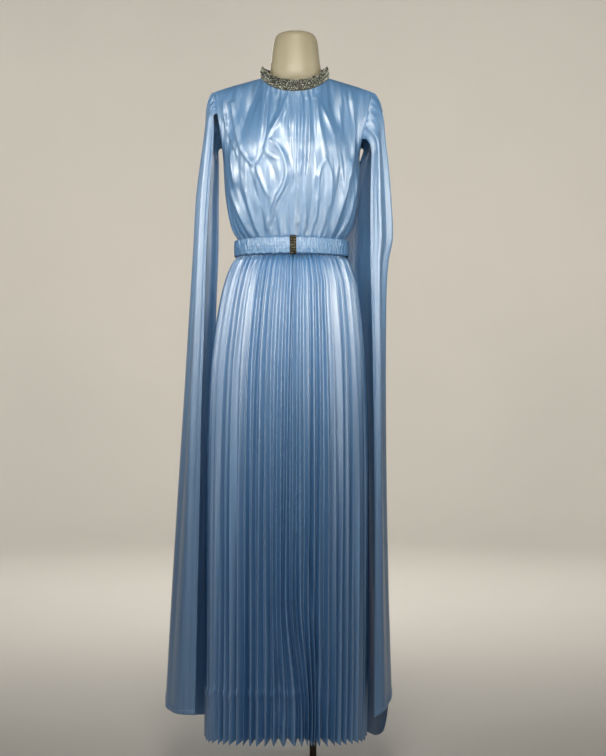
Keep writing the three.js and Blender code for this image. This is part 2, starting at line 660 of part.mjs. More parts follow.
const dress = new THREE.Group();

function add(name, geometry, material, x = 0, y = 0, z = 0) {
  const mesh = new THREE.Mesh(geometry, material);
  mesh.name = name;
  mesh.position.set(x, y, z);
  dress.add(mesh);
  return mesh;
}

add("bodice_front", bodicePanel(1), satin());
add("bodice_back", bodicePanel(-1), satin());
add("skirt_front", skirtPanel(1), satin());
add("skirt_back", skirtPanel(-1), satin());
add("sleeve_right", sleeve(-1, RIGHT_SLEEVE, RIGHT_HEM), satin());
add("sleeve_left", sleeve(1, LEFT_SLEEVE, LEFT_HEM), satin());
add("neckband", neckband(), beaded);
add("belt", belt(), shirred);

const claspY = -(BELT.front - BELT.wall / 2 + CLASP_STAND);
const claspZ = (BELT.bottom + BELT.top - CLASP.height) / 2;
const clasp = roundedBar(CLASP.width, CLASP.depth, CLASP.height, CLASP_ROUND);
add("clasp", clasp, brass, CLASP.x, claspY, claspZ);

add("form", formShell(), shell);
add("pole_socket", socket, steel, POLE.x, 0, 0);
add("pole", pole, steel, POLE.x, 0, 0);
add("plate", plate, steel, POLE.x, 0, 0);

export default dress;
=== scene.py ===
import math

import bpy
import numpy as np
from bpy.props import FloatProperty, FloatVectorProperty, IntProperty, PointerProperty
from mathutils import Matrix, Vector


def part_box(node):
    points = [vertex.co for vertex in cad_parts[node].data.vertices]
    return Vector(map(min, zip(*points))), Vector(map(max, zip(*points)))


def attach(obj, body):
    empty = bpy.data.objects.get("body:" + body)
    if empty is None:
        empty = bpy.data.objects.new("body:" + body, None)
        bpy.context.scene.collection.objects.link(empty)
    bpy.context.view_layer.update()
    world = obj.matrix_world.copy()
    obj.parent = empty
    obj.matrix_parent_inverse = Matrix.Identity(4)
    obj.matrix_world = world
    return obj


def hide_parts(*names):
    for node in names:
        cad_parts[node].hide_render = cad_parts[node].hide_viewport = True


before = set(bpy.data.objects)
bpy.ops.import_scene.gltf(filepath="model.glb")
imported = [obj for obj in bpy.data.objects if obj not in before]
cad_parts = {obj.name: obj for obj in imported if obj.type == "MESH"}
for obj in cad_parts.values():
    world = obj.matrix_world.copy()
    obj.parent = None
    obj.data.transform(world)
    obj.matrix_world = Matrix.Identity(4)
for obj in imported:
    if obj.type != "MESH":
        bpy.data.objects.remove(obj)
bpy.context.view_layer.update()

bl_info = {
    "name": "Pleated cape-sleeve dress",
    "version": (1, 0, 0),
    "blender": (4, 5, 0),
    "location": "3D View > Sidebar > Dress",
    "description": "Builds an evening dress on a dress form, piece by piece",
    "category": "Object",
}

UV = "cloth"  # a piece's own map, in metres

# ---------------------------------------------------------------- driving dimensions
SEAM = 0.00034
WALL = 0.002  # the solids' wall, which the sleeves' seam goes round
CLOTH = 0.0008
WAIST_Z = 1.212
UNDERARM_Z = 1.421
UNDERARM_V = 0.52
SHOULDER_TIP = (0.181, 0.0, 1.573)
NECK_X = 0.004
NECK_HALF = 0.077
NECK_SIDE_Z = 1.606
NECK_FRONT = (-0.074, 1.560)  # y and z of the neckline at the centre
NECK_BACK = (0.060, 1.604)
NECK_DIP = 1.3  # how fast the neckline rises from its centre
SHOULDER_SHARE = 0.46
HEM_Z = 0.092
BELT_LOW, BELT_HIGH = 1.194, 1.230

BODICE = (
    "z x half front back",
    (1.212, -0.003, 0.121, 0.094, 0.088),
    (1.232, -0.003, 0.122, 0.0985, 0.0905),
    (1.250, -0.003, 0.134, 0.1060, 0.0995),
    (1.268, -0.002, 0.142, 0.1140, 0.1050),
    (1.302, -0.001, 0.150, 0.126, 0.109),
    (1.340, -0.001, 0.155, 0.134, 0.108),
    (1.378, -0.002, 0.157, 0.138, 0.106),
    (1.421, -0.004, 0.157, 0.136, 0.105),
)
SKIRT = (
    "z x half front back depth",
    (0.092, -0.017, 0.187, 0.163, 0.162, 0.0240),
    (0.240, -0.015, 0.188, 0.160, 0.160, 0.0210),
    (0.430, -0.014, 0.188, 0.156, 0.157, 0.0175),
    (0.639, -0.013, 0.188, 0.152, 0.154, 0.0150),
    (0.820, -0.012, 0.185, 0.147, 0.151, 0.0125),
    (0.945, -0.011, 0.179, 0.141, 0.149, 0.0110),
    (1.030, -0.009, 0.170, 0.135, 0.144, 0.0100),
    (1.099, -0.007, 0.160, 0.127, 0.134, 0.0090),
    (1.134, -0.005, 0.153, 0.121, 0.124, 0.0085),
    (1.160, -0.005, 0.144, 0.114, 0.115, 0.0085),
    (1.1815, -0.004, 0.1345, 0.1040, 0.1010, 0.0105),
    (1.1905, -0.004, 0.1270, 0.0940, 0.0890, 0.0050),
    (1.212, -0.004, 0.123, 0.097, 0.091, 0.0050),
)
RIGHT_SLEEVE = (
    "z outer front back front_y back_y",
    (0.120, 0.300, 0.220, 0.205, -0.070, 0.124),
    (0.400, 0.284, 0.215, 0.199, -0.066, 0.118),
    (0.639, 0.269, 0.210, 0.194, -0.062, 0.110),
    (0.869, 0.254, 0.206, 0.188, -0.057, 0.100),
    (0.984, 0.247, 0.202, 0.185, -0.053, 0.090),
    (1.099, 0.240, 0.199, 0.181, -0.049, 0.080),
    (1.214, 0.233, 0.196, 0.176, -0.046, 0.072),
    (1.329, 0.227, 0.190, 0.175, -0.044, 0.066),
    (1.398, 0.219, 0.185, 0.174, -0.042, 0.062),
    (1.467, 0.210, 0.180, 0.175, -0.040, 0.058),
    (1.520, 0.205, 0.180, 0.176, -0.036, 0.050),
)
LEFT_SLEEVE = (
    "z outer front back front_y back_y",
    (0.070, 0.239, 0.182, 0.152, -0.074, 0.136),
    (0.400, 0.228, 0.184, 0.150, -0.072, 0.132),
    (0.639, 0.222, 0.184, 0.146, -0.070, 0.128),
    (0.869, 0.219, 0.182, 0.140, -0.066, 0.122),
    (1.099, 0.220, 0.178, 0.130, -0.058, 0.110),
    (1.180, 0.225, 0.176, 0.124, -0.054, 0.102),
    (1.237, 0.236, 0.176, 0.122, -0.050, 0.096),
    (1.329, 0.232, 0.176, 0.132, -0.048, 0.088),
    (1.398, 0.226, 0.178, 0.150, -0.046, 0.076),
    (1.467, 0.218, 0.181, 0.172, -0.042, 0.064),
    (1.520, 0.215, 0.181, 0.178, -0.036, 0.050),
)
RIGHT_HEM = ("share hem", (0, 0.158), (0.42, 0.164), (0.48, 0.187), (0.6, 0.185), (0.8, 0.122), (1, 0.108))
LEFT_HEM = ("share hem", (0, 0.153), (0.3, 0.180), (0.46, 0.199), (0.62, 0.186), (0.73, 0.078), (1, 0.069))

# Folds of the bodice front: half width, height (a trough is below 0) and the places (x, z) that
# the fold runs through, on the cloth seen from the front. The four values below shape them all.
FOLD_WIDTH = 0.58  # share of the stated half width at which a fold is down to about a third
FOLD_FALL = 1.6  # how steeply its sides fall, 2 being a bell
TROUGH_DEPTH = 0.75  # share of the stated depth that a trough gets
FOLD_ENDS = (0.14, 0.88)  # where a fold starts and ends on the half wave that fades its ends
FRONT_FOLDS = [
    # the draped pouch at the right breast, and the ridge below its point
    (0.0100, -0.0085, (-0.056, 1.567), (-0.059, 1.507), (-0.062, 1.447), (-0.071, 1.412), (-0.083, 1.388)),
    (0.0065, 0.0075, (-0.141, 1.540), (-0.130, 1.487), (-0.119, 1.435), (-0.104, 1.408), (-0.090, 1.388)),
    (0.0160, -0.0032, (-0.124, 1.550), (-0.112, 1.490), (-0.100, 1.440), (-0.090, 1.412)),
    (0.0200, 0.0010, (-0.088, 1.560), (-0.088, 1.500), (-0.084, 1.440)),
    (0.0060, 0.0050, (-0.087, 1.396), (-0.079, 1.384), (-0.075, 1.368), (-0.068, 1.347), (-0.056, 1.319)),
    (0.0100, -0.0040, (-0.094, 1.370), (-0.088, 1.340), (-0.074, 1.305)),
    # the curved ridge beside it and its neighbours
    (0.0095, 0.0085, (-0.046, 1.440), (-0.030, 1.424), (-0.018, 1.402), (-0.012, 1.374), (-0.015, 1.350),
     (-0.024, 1.328), (-0.038, 1.308), (-0.045, 1.277), (-0.057, 1.253)),
    (0.0110, -0.0050, (-0.050, 1.392), (-0.040, 1.370), (-0.036, 1.345), (-0.042, 1.325)),
    (0.0080, 0.0045, (-0.066, 1.424), (-0.055, 1.408), (-0.034, 1.399)),
    (0.0085, 0.0050, (-0.012, 1.553), (-0.019, 1.521), (-0.028, 1.494), (-0.041, 1.473), (-0.053, 1.455),
     (-0.062, 1.428)),
    (0.0090, -0.0035, (-0.034, 1.545), (-0.040, 1.505), (-0.052, 1.480)),
    (0.0080, -0.0045, (-0.002, 1.440), (0.002, 1.390), (-0.001, 1.340), (-0.014, 1.290)),
    # gathers down the middle
    (0.0045, 0.0026, (-0.010, 1.548), (-0.007, 1.480), (-0.004, 1.420), (0.003, 1.360)),
    (0.0050, 0.0030, (0.006, 1.552), (0.008, 1.480), (0.006, 1.410), (0.004, 1.330), (0.002, 1.250)),
    (0.0045, -0.0028, (0.013, 1.548), (0.014, 1.490), (0.012, 1.420), (0.010, 1.340)),
    (0.0050, 0.0032, (0.021, 1.552), (0.022, 1.480), (0.019, 1.410), (0.018, 1.380), (0.015, 1.330),
     (0.014, 1.260)),
    (0.0060, 0.0042, (0.018, 1.408), (0.018, 1.390), (0.016, 1.366)),
    (0.0050, -0.0035, (0.028, 1.540), (0.029, 1.470), (0.027, 1.390), (0.024, 1.310)),
    (0.0050, 0.0040, (0.037, 1.545), (0.038, 1.470), (0.036, 1.400), (0.031, 1.370), (0.027, 1.310),
     (0.030, 1.250)),
    (0.0055, -0.0032, (0.047, 1.540), (0.049, 1.470), (0.048, 1.400), (0.044, 1.340), (0.040, 1.270)),
    # the ridge that splits in two at the left breast, and the pocket below it
    (0.0080, 0.0038, (0.052, 1.550), (0.060, 1.480), (0.068, 1.430), (0.073, 1.400)),
    (0.0050, 0.0045, (0.073, 1.399), (0.065, 1.386), (0.060, 1.372), (0.056, 1.345), (0.058, 1.310)),
    (0.0050, 0.0042, (0.073, 1.399), (0.080, 1.388), (0.085, 1.372), (0.088, 1.345), (0.084, 1.300)),
    (0.0080, -0.0040, (0.072, 1.380), (0.073, 1.350), (0.070, 1.310)),
    (0.0055, -0.0055, (0.054, 1.356), (0.053, 1.338), (0.051, 1.322)),
    (0.0060, 0.0040, (0.054, 1.310), (0.054, 1.292), (0.050, 1.262)),
    # the smooth left side
    (0.0090, 0.0060, (0.130, 1.400), (0.124, 1.350), (0.111, 1.308), (0.100, 1.274), (0.089, 1.243)),
    (0.0110, -0.0045, (0.108, 1.380), (0.102, 1.330), (0.092, 1.290)),
    (0.0100, 0.0052, (0.138, 1.545), (0.138, 1.483), (0.136, 1.428), (0.131, 1.370)),
    (0.0120, -0.0045, (0.118, 1.545), (0.118, 1.490), (0.114, 1.430)),
    (0.0100, -0.0055, (0.092, 1.530), (0.099, 1.500), (0.103, 1.475)),
    (0.0085, 0.0050, (0.066, 1.525), (0.076, 1.497), (0.085, 1.474), (0.092, 1.455)),
    (0.0070, 0.0035, (0.148, 1.380), (0.142, 1.330), (0.130, 1.285), (0.114, 1.246)),
    # the right side, from the shoulder down to the belt
    (0.0085, 0.0055, (-0.160, 1.545), (-0.152, 1.505), (-0.148, 1.480), (-0.150, 1.452)),
    (0.0060, 0.0040, (-0.168, 1.540), (-0.152, 1.495), (-0.133, 1.438), (-0.118, 1.385)),
    (0.0085, -0.0040, (-0.140, 1.450), (-0.126, 1.410), (-0.113, 1.370)),
    (0.0095, 0.0055, (-0.140, 1.425), (-0.134, 1.385), (-0.131, 1.350)),
    (0.0080, 0.0052, (-0.140, 1.335), (-0.128, 1.302), (-0.114, 1.272), (-0.097, 1.238)),
    (0.0100, -0.0042, (-0.124, 1.345), (-0.112, 1.310), (-0.100, 1.278)),
    (0.0070, 0.0036, (-0.104, 1.330), (-0.096, 1.290), (-0.080, 1.246)),
    (0.0075, -0.0040, (-0.070, 1.290), (-0.066, 1.262), (-0.062, 1.242)),
]
# Folds of the bodice back, in the same way, x as seen from the front.
BACK_FOLDS = [
    (0.0160, 0.0045, (-0.148, 1.540), (-0.130, 1.470), (-0.112, 1.400), (-0.100, 1.330)),
    (0.0120, -0.0035, (-0.120, 1.545), (-0.106, 1.470), (-0.092, 1.400)),
    (0.0100, 0.0040, (-0.096, 1.520), (-0.080, 1.440), (-0.072, 1.360), (-0.066, 1.270)),
    (0.0090, 0.0036, (-0.132, 1.400), (-0.120, 1.330), (-0.098, 1.245)),
    (0.0090, 0.0034, (-0.034, 1.470), (-0.030, 1.380), (-0.034, 1.300), (-0.030, 1.245)),
    (0.0080, -0.0030, (-0.016, 1.430), (-0.014, 1.350), (-0.016, 1.260)),
    (0.0100, 0.0034, (0.006, 1.500), (0.010, 1.400), (0.004, 1.320), (0.008, 1.245)),
    (0.0090, 0.0038, (0.046, 1.450), (0.048, 1.360), (0.040, 1.250)),
    (0.0100, -0.0034, (0.066, 1.440), (0.064, 1.350), (0.056, 1.270)),
    (0.0120, 0.0046, (0.150, 1.535), (0.134, 1.460), (0.112, 1.380), (0.094, 1.250)),
    (0.0120, -0.0036, (0.118, 1.530), (0.104, 1.460), (0.090, 1.400)),
    (0.0100, 0.0040, (0.092, 1.510), (0.078, 1.440), (0.074, 1.370), (0.068, 1.290)),
    (0.0090, 0.0036, (0.136, 1.400), (0.126, 1.330), (0.110, 1.250)),
]
# Deep folds low in the skirt front, in the same way.
SKIRT_FOLDS = [
    (0.0085, -0.0085, (0.004, 0.560), (0.006, 0.500), (0.014, 0.275), (0.0295, 0.137), (0.032, 0.080)),
    (0.0080, -0.0085, (0.034, 0.560), (0.038, 0.500), (0.060, 0.220), (0.0645, 0.133), (0.066, 0.080)),
    (0.0080, -0.0075, (-0.046, 0.420), (-0.0446, 0.345), (-0.020, 0.180), (-0.0119, 0.137), (-0.008, 0.080)),
]
# Folds of the cape sleeves: share across the sheet at the head and at the hem (-1 at the front
# edge, 1 at the back one), half width as a share, height, and where the fold is deepest and
# how far it reaches, as shares of the length.
RIGHT_SLEEVE_FOLDS = [
    (-0.90, -0.94, 0.055, -0.0030, 0.30, 0.9),
    (-0.70, -0.66, 0.110, 0.0070, 0.18, 0.8),
    (-0.42, -0.36, 0.100, -0.0036, 0.45, 0.8),
    (-0.12, -0.10, 0.120, 0.0030, 0.55, 0.8),
    (0.20, 0.22, 0.120, -0.0044, 0.45, 0.9),
    (0.46, 0.52, 0.130, 0.0060, 0.50, 0.9),
    (0.76, 0.78, 0.100, -0.0050, 0.60, 0.9),
    (0.95, 0.95, 0.060, 0.0040, 0.50, 0.9),
]
LEFT_SLEEVE_FOLDS = [
    (-0.93, -0.94, 0.050, -0.0030, 0.30, 0.9),
    (-0.76, -0.70, 0.085, 0.0070, 0.15, 0.8),
    (-0.52, -0.44, 0.100, -0.0030, 0.40, 0.8),
    (-0.26, -0.28, 0.090, 0.0034, 0.20, 0.5),
    (0.02, 0.00, 0.120, -0.0040, 0.50, 0.9),
    (0.30, 0.30, 0.120, 0.0050, 0.45, 0.9),
    (0.58, 0.56, 0.120, -0.0050, 0.45, 0.9),
    (0.84, 0.84, 0.100, 0.0056, 0.60, 0.9),
]


# ---------------------------------------------------------------- settings
class DressCloth(bpy.types.PropertyGroup):
    """Colours and sizes that the cloth pieces share."""

    satin: FloatVectorProperty(
        name="Satin", description="Colour of the satin", default=(0.060, 0.178, 0.37),
        size=3, min=0, max=1, subtype="COLOR",
    )
    thread: FloatVectorProperty(
        name="Thread", description="Colour of the sewing thread", default=(0.24, 0.42, 0.70),
        size=3, min=0, max=1, subtype="COLOR",
    )
    thickness: FloatProperty(
        name="Thickness", description="Thickness of the cloth", default=CLOTH,
        min=0.0003, max=0.002, unit="LENGTH", precision=4,
    )
    crinkle: FloatProperty(
        name="Crinkle", description="Height of the fine creases in the weave", default=0.0010,
        min=0, max=0.003, unit="LENGTH", precision=4,
    )


class DressBodice(bpy.types.PropertyGroup):
    """Gathers of the bodice."""

    waist_gathers: IntProperty(
        name="Waist gathers", description="Gathers at the waist of each panel", default=19, min=4, max=60,
    )
    neck_gathers: IntProperty(
        name="Neck gathers", description="Gathers under the neckband at the front", default=17, min=4, max=40,
    )
    gather_height: FloatProperty(
        name="Gather height", description="Height of a gather over the cloth", default=0.0026,
        min=0, max=0.006, unit="LENGTH", precision=4,
    )


class DressSkirt(bpy.types.PropertyGroup):
    """Pleats of the skirt."""

    pleats: IntProperty(
        name="Pleats", description="Pleats on each of the two panels", default=30, min=10, max=60,
    )
    crowding: FloatProperty(
        name="Crowding", description="How much closer the pleats stand at the centre", default=0.22,
        min=0, max=0.5, subtype="FACTOR",
    )
    front_rise: FloatProperty(
        name="Front rise", description="How much higher the hem hangs at the centre front", default=0.021,
        min=0, max=0.1, unit="LENGTH", precision=3,
    )
    tooth: FloatProperty(
        name="Hem tooth", description="Drop of an outer fold below an inner one at the hem", default=0.014,
        min=0, max=0.03, unit="LENGTH", precision=3,
    )
    edge_round: FloatProperty(
        name="Edge round", description="Rounding of the outer folds, as a share of a pleat's side",
        default=0.10, min=0.01, max=0.5, subtype="FACTOR",
    )


class DressSleeve(bpy.types.PropertyGroup):
    """Cape sleeves."""

    head_drop: FloatProperty(
        name="Head drop", description="Height over which the gathered head turns down", default=0.062,
        min=0.02, max=0.12, unit="LENGTH", precision=3,
    )
    hem_depth: FloatProperty(
        name="Hem depth", description="Height of the stitched hem", default=0.009,
        min=0.004, max=0.03, unit="LENGTH", precision=3,
    )
    stitch: FloatProperty(
        name="Stitch", description="Length of a stitch", default=0.0032, min=0.001, max=0.006,
        unit="LENGTH", precision=4,
    )


class DressTrim(bpy.types.PropertyGroup):
    """Neckband, belt and clasp."""

    bead: FloatProperty(
        name="Bead", description="Diameter of a small bead", default=0.0036, min=0.001, max=0.01,
        unit="LENGTH", precision=4,
    )
    stone: FloatProperty(
        name="Stone", description="Width of a large stone", default=0.0062, min=0.002, max=0.012,
        unit="LENGTH", precision=4,
    )
    shirring: FloatProperty(
        name="Shirring", description="Height of the belt's fine gathers", default=0.0022, min=0, max=0.004,
        unit="LENGTH", precision=4,
    )
    seed: IntProperty(name="Seed", description="Start of the random draws", default=7, min=0)


class DressStage(bpy.types.PropertyGroup):
    """Room, lights and camera."""

    wall: FloatVectorProperty(
        name="Wall", description="Colour of the room", default=(0.66, 0.63, 0.59),
        size=3, min=0, max=1, subtype="COLOR",
    )
    room_radius: FloatProperty(
        name="Room radius", description="Radius of the flat floor", default=4.2, min=3, max=20, unit="LENGTH",
    )
    distance: FloatProperty(
        name="Camera distance", description="Distance of the camera in front of the dress", default=3.0,
        min=1, max=10, unit="LENGTH",
    )
    lens: FloatProperty(name="Lens", description="Focal length", default=62.1, min=20, max=200, unit="CAMERA")


# ---------------------------------------------------------------- small helpers
def smooth(start, end, value):
    """0 before start, 1 past end, and a soft step between them, which may also run downwards."""
    share = np.clip((value - start) / (end - start), 0, 1)
    return share * share * (3 - 2 * share)


def column(table, name, place):
    """A table's column at places along its first one, on a smooth curve through the rows."""
    names = table[0].split()
    values = np.array(table[1:], float)
    heights, wanted = values[:, 0], values[:, names.index(name)]
    last = len(heights) - 1
    before = np.maximum(np.arange(last + 1) - 1, 0)
    after = np.minimum(np.arange(last + 1) + 1, last)
    slopes = (wanted[after] - wanted[before]) / (heights[after] - heights[before])
    place = np.clip(np.asarray(place, float), heights[0], heights[-1])
    i = np.clip(np.searchsorted(heights, place, side="right") - 1, 0, last - 1)
    span = heights[i + 1] - heights[i]
    t = (place - heights[i]) / span
    start = (1 + 2 * t) * (1 - t) ** 2 * wanted[i] + t * (1 - t) ** 2 * span * slopes[i]
    end = t * t * (3 - 2 * t) * wanted[i + 1] + t * t * (t - 1) * span * slopes[i + 1]
    return start + end


def places(x, y, z):
    """Three arrays or numbers as an array of points."""
    return np.stack(np.broadcast_arrays(np.asarray(x, float), y, z), axis=-1)


def on_section(table, z, angle, inset=0.0):
    """Points of a table's section at height z. The angle is 0 at the centre front, a quarter turn at
    the wearer's left side. inset moves the section inwards."""
    front = np.cos(angle) > 0
    depth = np.where(front, column(table, "front", z), column(table, "back", z)) - inset
    half = column(table, "half", z) - inset
    return places(column(table, "x", z) + half * np.sin(angle), -depth * np.cos(angle), z)


def bezier(share, a, b, c, d):
    """Points on cubic curves from a to d."""
    t = np.asarray(share, float)[..., None]
    q = 1 - t
    return q**3 * a + 3 * q * q * t * b + 3 * q * t * t * c + t**3 * d


def unit(vectors):
    """Vectors at length 1."""
    return vectors / np.maximum(np.linalg.norm(vectors, axis=-1, keepdims=True), 1e-12)


def normals_of(surface, u, v, facing=1):
    """Unit normals of a surface of u and v, by differences."""
    step = 1e-3
    v = np.maximum(v, 0)
    along = surface(u + step, v) - surface(u - step, v)
    up = surface(u, np.minimum(v + step, 1)) - surface(u, np.maximum(v - step, 0))
    return unit(np.cross(along, up)) * facing


def rounded(route):
    """A route with its corners cut twice, so that it bends softly."""
    points = np.array(route, float)
    for _ in range(2):
        first = 0.75 * points[:-1] + 0.25 * points[1:]
        second = 0.25 * points[:-1] + 0.75 * points[1:]
        inner = np.stack([first, second], axis=1).reshape(-1, 2)
        points = np.concatenate([points[:1], inner[1:-1], points[-1:]])
    return points


def fold_height(fold, x, z):
    """Height of one ridge or trough at places x and z, with soft ends."""
    width, height, *route = fold
    width, height = FOLD_WIDTH * width, height * (1.0 if height > 0 else TROUGH_DEPTH)
    points = rounded(route)
    steps = np.linalg.norm(np.diff(points, axis=0), axis=1)
    starts = np.concatenate([[0], np.cumsum(steps)])
    nearest = np.full(np.shape(x), 1e9)
    share = np.zeros(np.shape(x))
    for (ax, az), (bx, bz), length, start in zip(points, points[1:], steps, starts):
        t = np.clip(((x - ax) * (bx - ax) + (z - az) * (bz - az)) / length**2, 0, 1)
        away = np.hypot(x - ax - t * (bx - ax), z - az - t * (bz - az))
        closer = away < nearest
        nearest = np.where(closer, away, nearest)
        share = np.where(closer, (start + t * length) / starts[-1], share)
    ends = np.sin(np.pi * (FOLD_ENDS[0] + (FOLD_ENDS[1] - FOLD_ENDS[0]) * share))
    return height * np.exp(-((nearest / width) ** FOLD_FALL)) * ends


def gathers(across, up, count, reach, seed):
    """Uneven gathers that start at up = 0, each with its own height, width, lean and length. across runs
    from 0 to 1, and the result is about 0 to 1."""
    draw = np.random.default_rng(seed)
    total = np.zeros(np.shape(across))
    for i in range(count):
        centre = (i + 0.5 + draw.uniform(-0.3, 0.3)) / count
        lean = draw.uniform(-0.5, 0.5) / count
        width = draw.uniform(0.20, 0.42) / count
        length = reach * draw.uniform(0.35, 1.0)
        height = draw.uniform(0.55, 1.0)
        along = np.clip(up / length, 0, 1)
        away = (across - centre - lean * along) / (width * (1 + 0.8 * along))
        total += height * (1 - along) ** 0.8 * np.exp(-away * away)
    return total


# ---------------------------------------------------------------- meshes
def new_piece(name, mesh):
    """An object for a mesh, in the scene."""
    piece = bpy.data.objects.new(name, mesh)
    bpy.context.scene.collection.objects.link(piece)
    return piece


def grid_mesh(name, points, size, facing=1, ring=False):
    """A mesh from rows of points, with a map in metres. A ring closes in the second direction."""
    rows, columns = points.shape[:2]
    mesh = bpy.data.meshes.new(name)
    j, i = np.meshgrid(np.arange(rows - 1), np.arange(columns - (0 if ring else 1)), indexing="ij")
    right = (i + 1) % columns
    here, above = j * columns, (j + 1) * columns
    quads = np.stack([here + i, here + right, above + right, above + i], axis=-1)
    steps = np.stack([i, i + 1, i + 1, i], axis=-1) / (columns - (0 if ring else 1))
    levels = np.stack([j, j, j + 1, j + 1], axis=-1) / (rows - 1)
    if facing < 0:
        quads, steps, levels = quads[..., ::-1], steps[..., ::-1], levels[..., ::-1]
    mesh.from_pydata(points.reshape(-1, 3).tolist(), [], quads.reshape(-1, 4).tolist())
    uv = mesh.uv_layers.new(name=UV)
    flat = np.stack([steps.reshape(-1) * size[0], levels.reshape(-1) * size[1]], axis=-1)
    uv.data.foreach_set("uv", flat.reshape(-1).astype(np.float32))
    shade_smooth(mesh)
    mesh.update()
    return mesh


def shade_smooth(mesh, smooth_faces=True):
    """Shades a mesh's faces smooth, or flat."""
    mesh.polygons.foreach_set("use_smooth", [smooth_faces] * len(mesh.polygons))


def solidify(piece, thickness):
    """Gives a sheet its thickness behind its outer face."""
    wall = piece.modifiers.new("thickness", "SOLIDIFY")
    wall.thickness = thickness
    wall.offset = -1
    wall.use_rim = True


def bevelled(piece, width, segments):
    """Rounds a piece's sharp edges, as a plain mesh."""
    bevel = piece.modifiers.new("edge", "BEVEL")
    bevel.width, bevel.segments, bevel.limit_method = width, segments, "ANGLE"
    return applied(piece)


def applied(piece):
    """Turns a piece with modifiers into a plain mesh."""
    bpy.context.view_layer.update()
    graph = bpy.context.evaluated_depsgraph_get()
    live = piece.evaluated_get(graph)
    mesh = bpy.data.meshes.new_from_object(live, preserve_all_data_layers=True, depsgraph=graph)
    mesh.name = piece.name
    old = piece.data
    piece.modifiers.clear()
    piece.data = mesh
    if not old.users:
        bpy.data.meshes.remove(old)
    return piece


def declare(piece, slot, *nodes):
    """Puts a piece on the frame's body, in the place of CAD nodes."""
    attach(piece, "root")
    if nodes:
        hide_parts(*nodes)
    return piece


def cloth_piece(name, points, size, facing, finish, thickness, ring=False):
    """A thin cloth shell from rows of points."""
    piece = new_piece(name, grid_mesh(name, points, size, facing, ring))
    piece.data.materials.append(finish)
    solidify(piece, thickness)
    return applied(piece)


# ---------------------------------------------------------------- node trees
SHADER_NAMES = {"index": "IOR", "coat_index": "Coat IOR"}
WEAVE = {"Scale": 900.0, "Detail": 2.0}  # a noise as fine as woven cloth


def add_node(tree, kind, values=None, **settings):
    """A node with its settings and the values of its inputs."""
    node = tree.nodes.new(kind)
    for key, value in settings.items():
        setattr(node, key, value)
    for key, value in (values or {}).items():
        node.inputs[key].default_value = value
    return node


def wire(tree, *pairs):
    """Links outputs to inputs, given as (from node, output, to node, input)."""
    for source, output, target, socket in pairs:
        tree.links.new(source.outputs[output], target.inputs[socket])


def new_material(name, **sockets):
    """A node material, its tree and its shader, with the shader's plain values set."""
    material = bpy.data.materials.new(name)
    material.use_nodes = True
    tree = material.node_tree
    shader = next(node for node in tree.nodes if node.type == "BSDF_PRINCIPLED")
    for key, value in sockets.items():
        shader.inputs[SHADER_NAMES.get(key, key.replace("_", " ").title())].default_value = value
    return material, tree, shader


def ramp_colours(ramp, *stops):
    """Sets the stops of a colour ramp, each a place and a colour."""
    elements = ramp.color_ramp.elements
    while len(elements) > len(stops):
        elements.remove(elements[-1])
    while len(elements) < len(stops):
        elements.new(1.0)
    for element, (place, colour) in zip(elements, stops):
        element.position = place
        element.color = (*colour, 1) if len(colour) == 3 else colour


def tinted(colour, factor):
    """A colour made lighter or darker."""
    return tuple(min(1.0, channel * factor) for channel in colour)


def satin(name, colour, crinkle, gloss=0.40, index=2.4, streak=(60, 7, 1)):
    """Liquid satin: colour that drifts a little along the warp, fine long creases and threads."""
    material, tree, shader = new_material(
        name, index=index, coat_weight=1.0, coat_index=1.6, coat_roughness=0.31
    )
    place = add_node(tree, "ShaderNodeUVMap", uv_map=UV)
    long_way = add_node(tree, "ShaderNodeMapping", {"Scale": streak})
    drift = add_node(tree, "ShaderNodeTexNoise", {"Scale": 1.0, "Detail": 4.0, "Roughness": 0.55})
    shade = add_node(tree, "ShaderNodeValToRGB")
    ramp_colours(
        shade,
        (0.30, tinted(colour, 0.80)),
        (0.50, colour),
        (0.72, (colour[0] * 1.35, colour[1] * 1.10, min(1.0, colour[2] * 1.02))),
    )
    spread = {"From Min": 0.3, "From Max": 0.7, "To Min": gloss - 0.05, "To Max": gloss + 0.08}
    gloss_range = add_node(tree, "ShaderNodeMapRange", spread)
    fine_way = add_node(tree, "ShaderNodeMapping", {"Scale": (streak[0] * 3.2, streak[1] * 2.6, 1)})
    crease_noise = {"Scale": 1.0, "Detail": 3.0, "Roughness": 0.5, "Distortion": 0.4}
    creases = add_node(tree, "ShaderNodeTexNoise", crease_noise)
    thread_way = add_node(tree, "ShaderNodeMapping", {"Scale": (2600, 420, 1), "Rotation": (0, 0, 0.2)})
    threads = add_node(tree, "ShaderNodeTexNoise", {"Scale": 1.0, "Detail": 1.0})
    crease_bump = add_node(tree, "ShaderNodeBump", {"Strength": 1.0, "Distance": crinkle})
    thread_bump = add_node(tree, "ShaderNodeBump", {"Strength": 0.25, "Distance": 0.00008})
    wire(
        tree,
        (place, "UV", long_way, "Vector"),
        (long_way, "Vector", drift, "Vector"),
        (drift, "Fac", shade, "Fac"),
        (shade, "Color", shader, "Base Color"),
        (drift, "Fac", gloss_range, "Value"),
        (gloss_range, "Result", shader, "Roughness"),
        (place, "UV", fine_way, "Vector"),
        (fine_way, "Vector", creases, "Vector"),
        (creases, "Fac", crease_bump, "Height"),
        (place, "UV", thread_way, "Vector"),
        (thread_way, "Vector", threads, "Vector"),
        (threads, "Fac", thread_bump, "Height"),
        (crease_bump, "Normal", thread_bump, "Normal"),
        (thread_bump, "Normal", shader, "Normal"),
    )
    return material


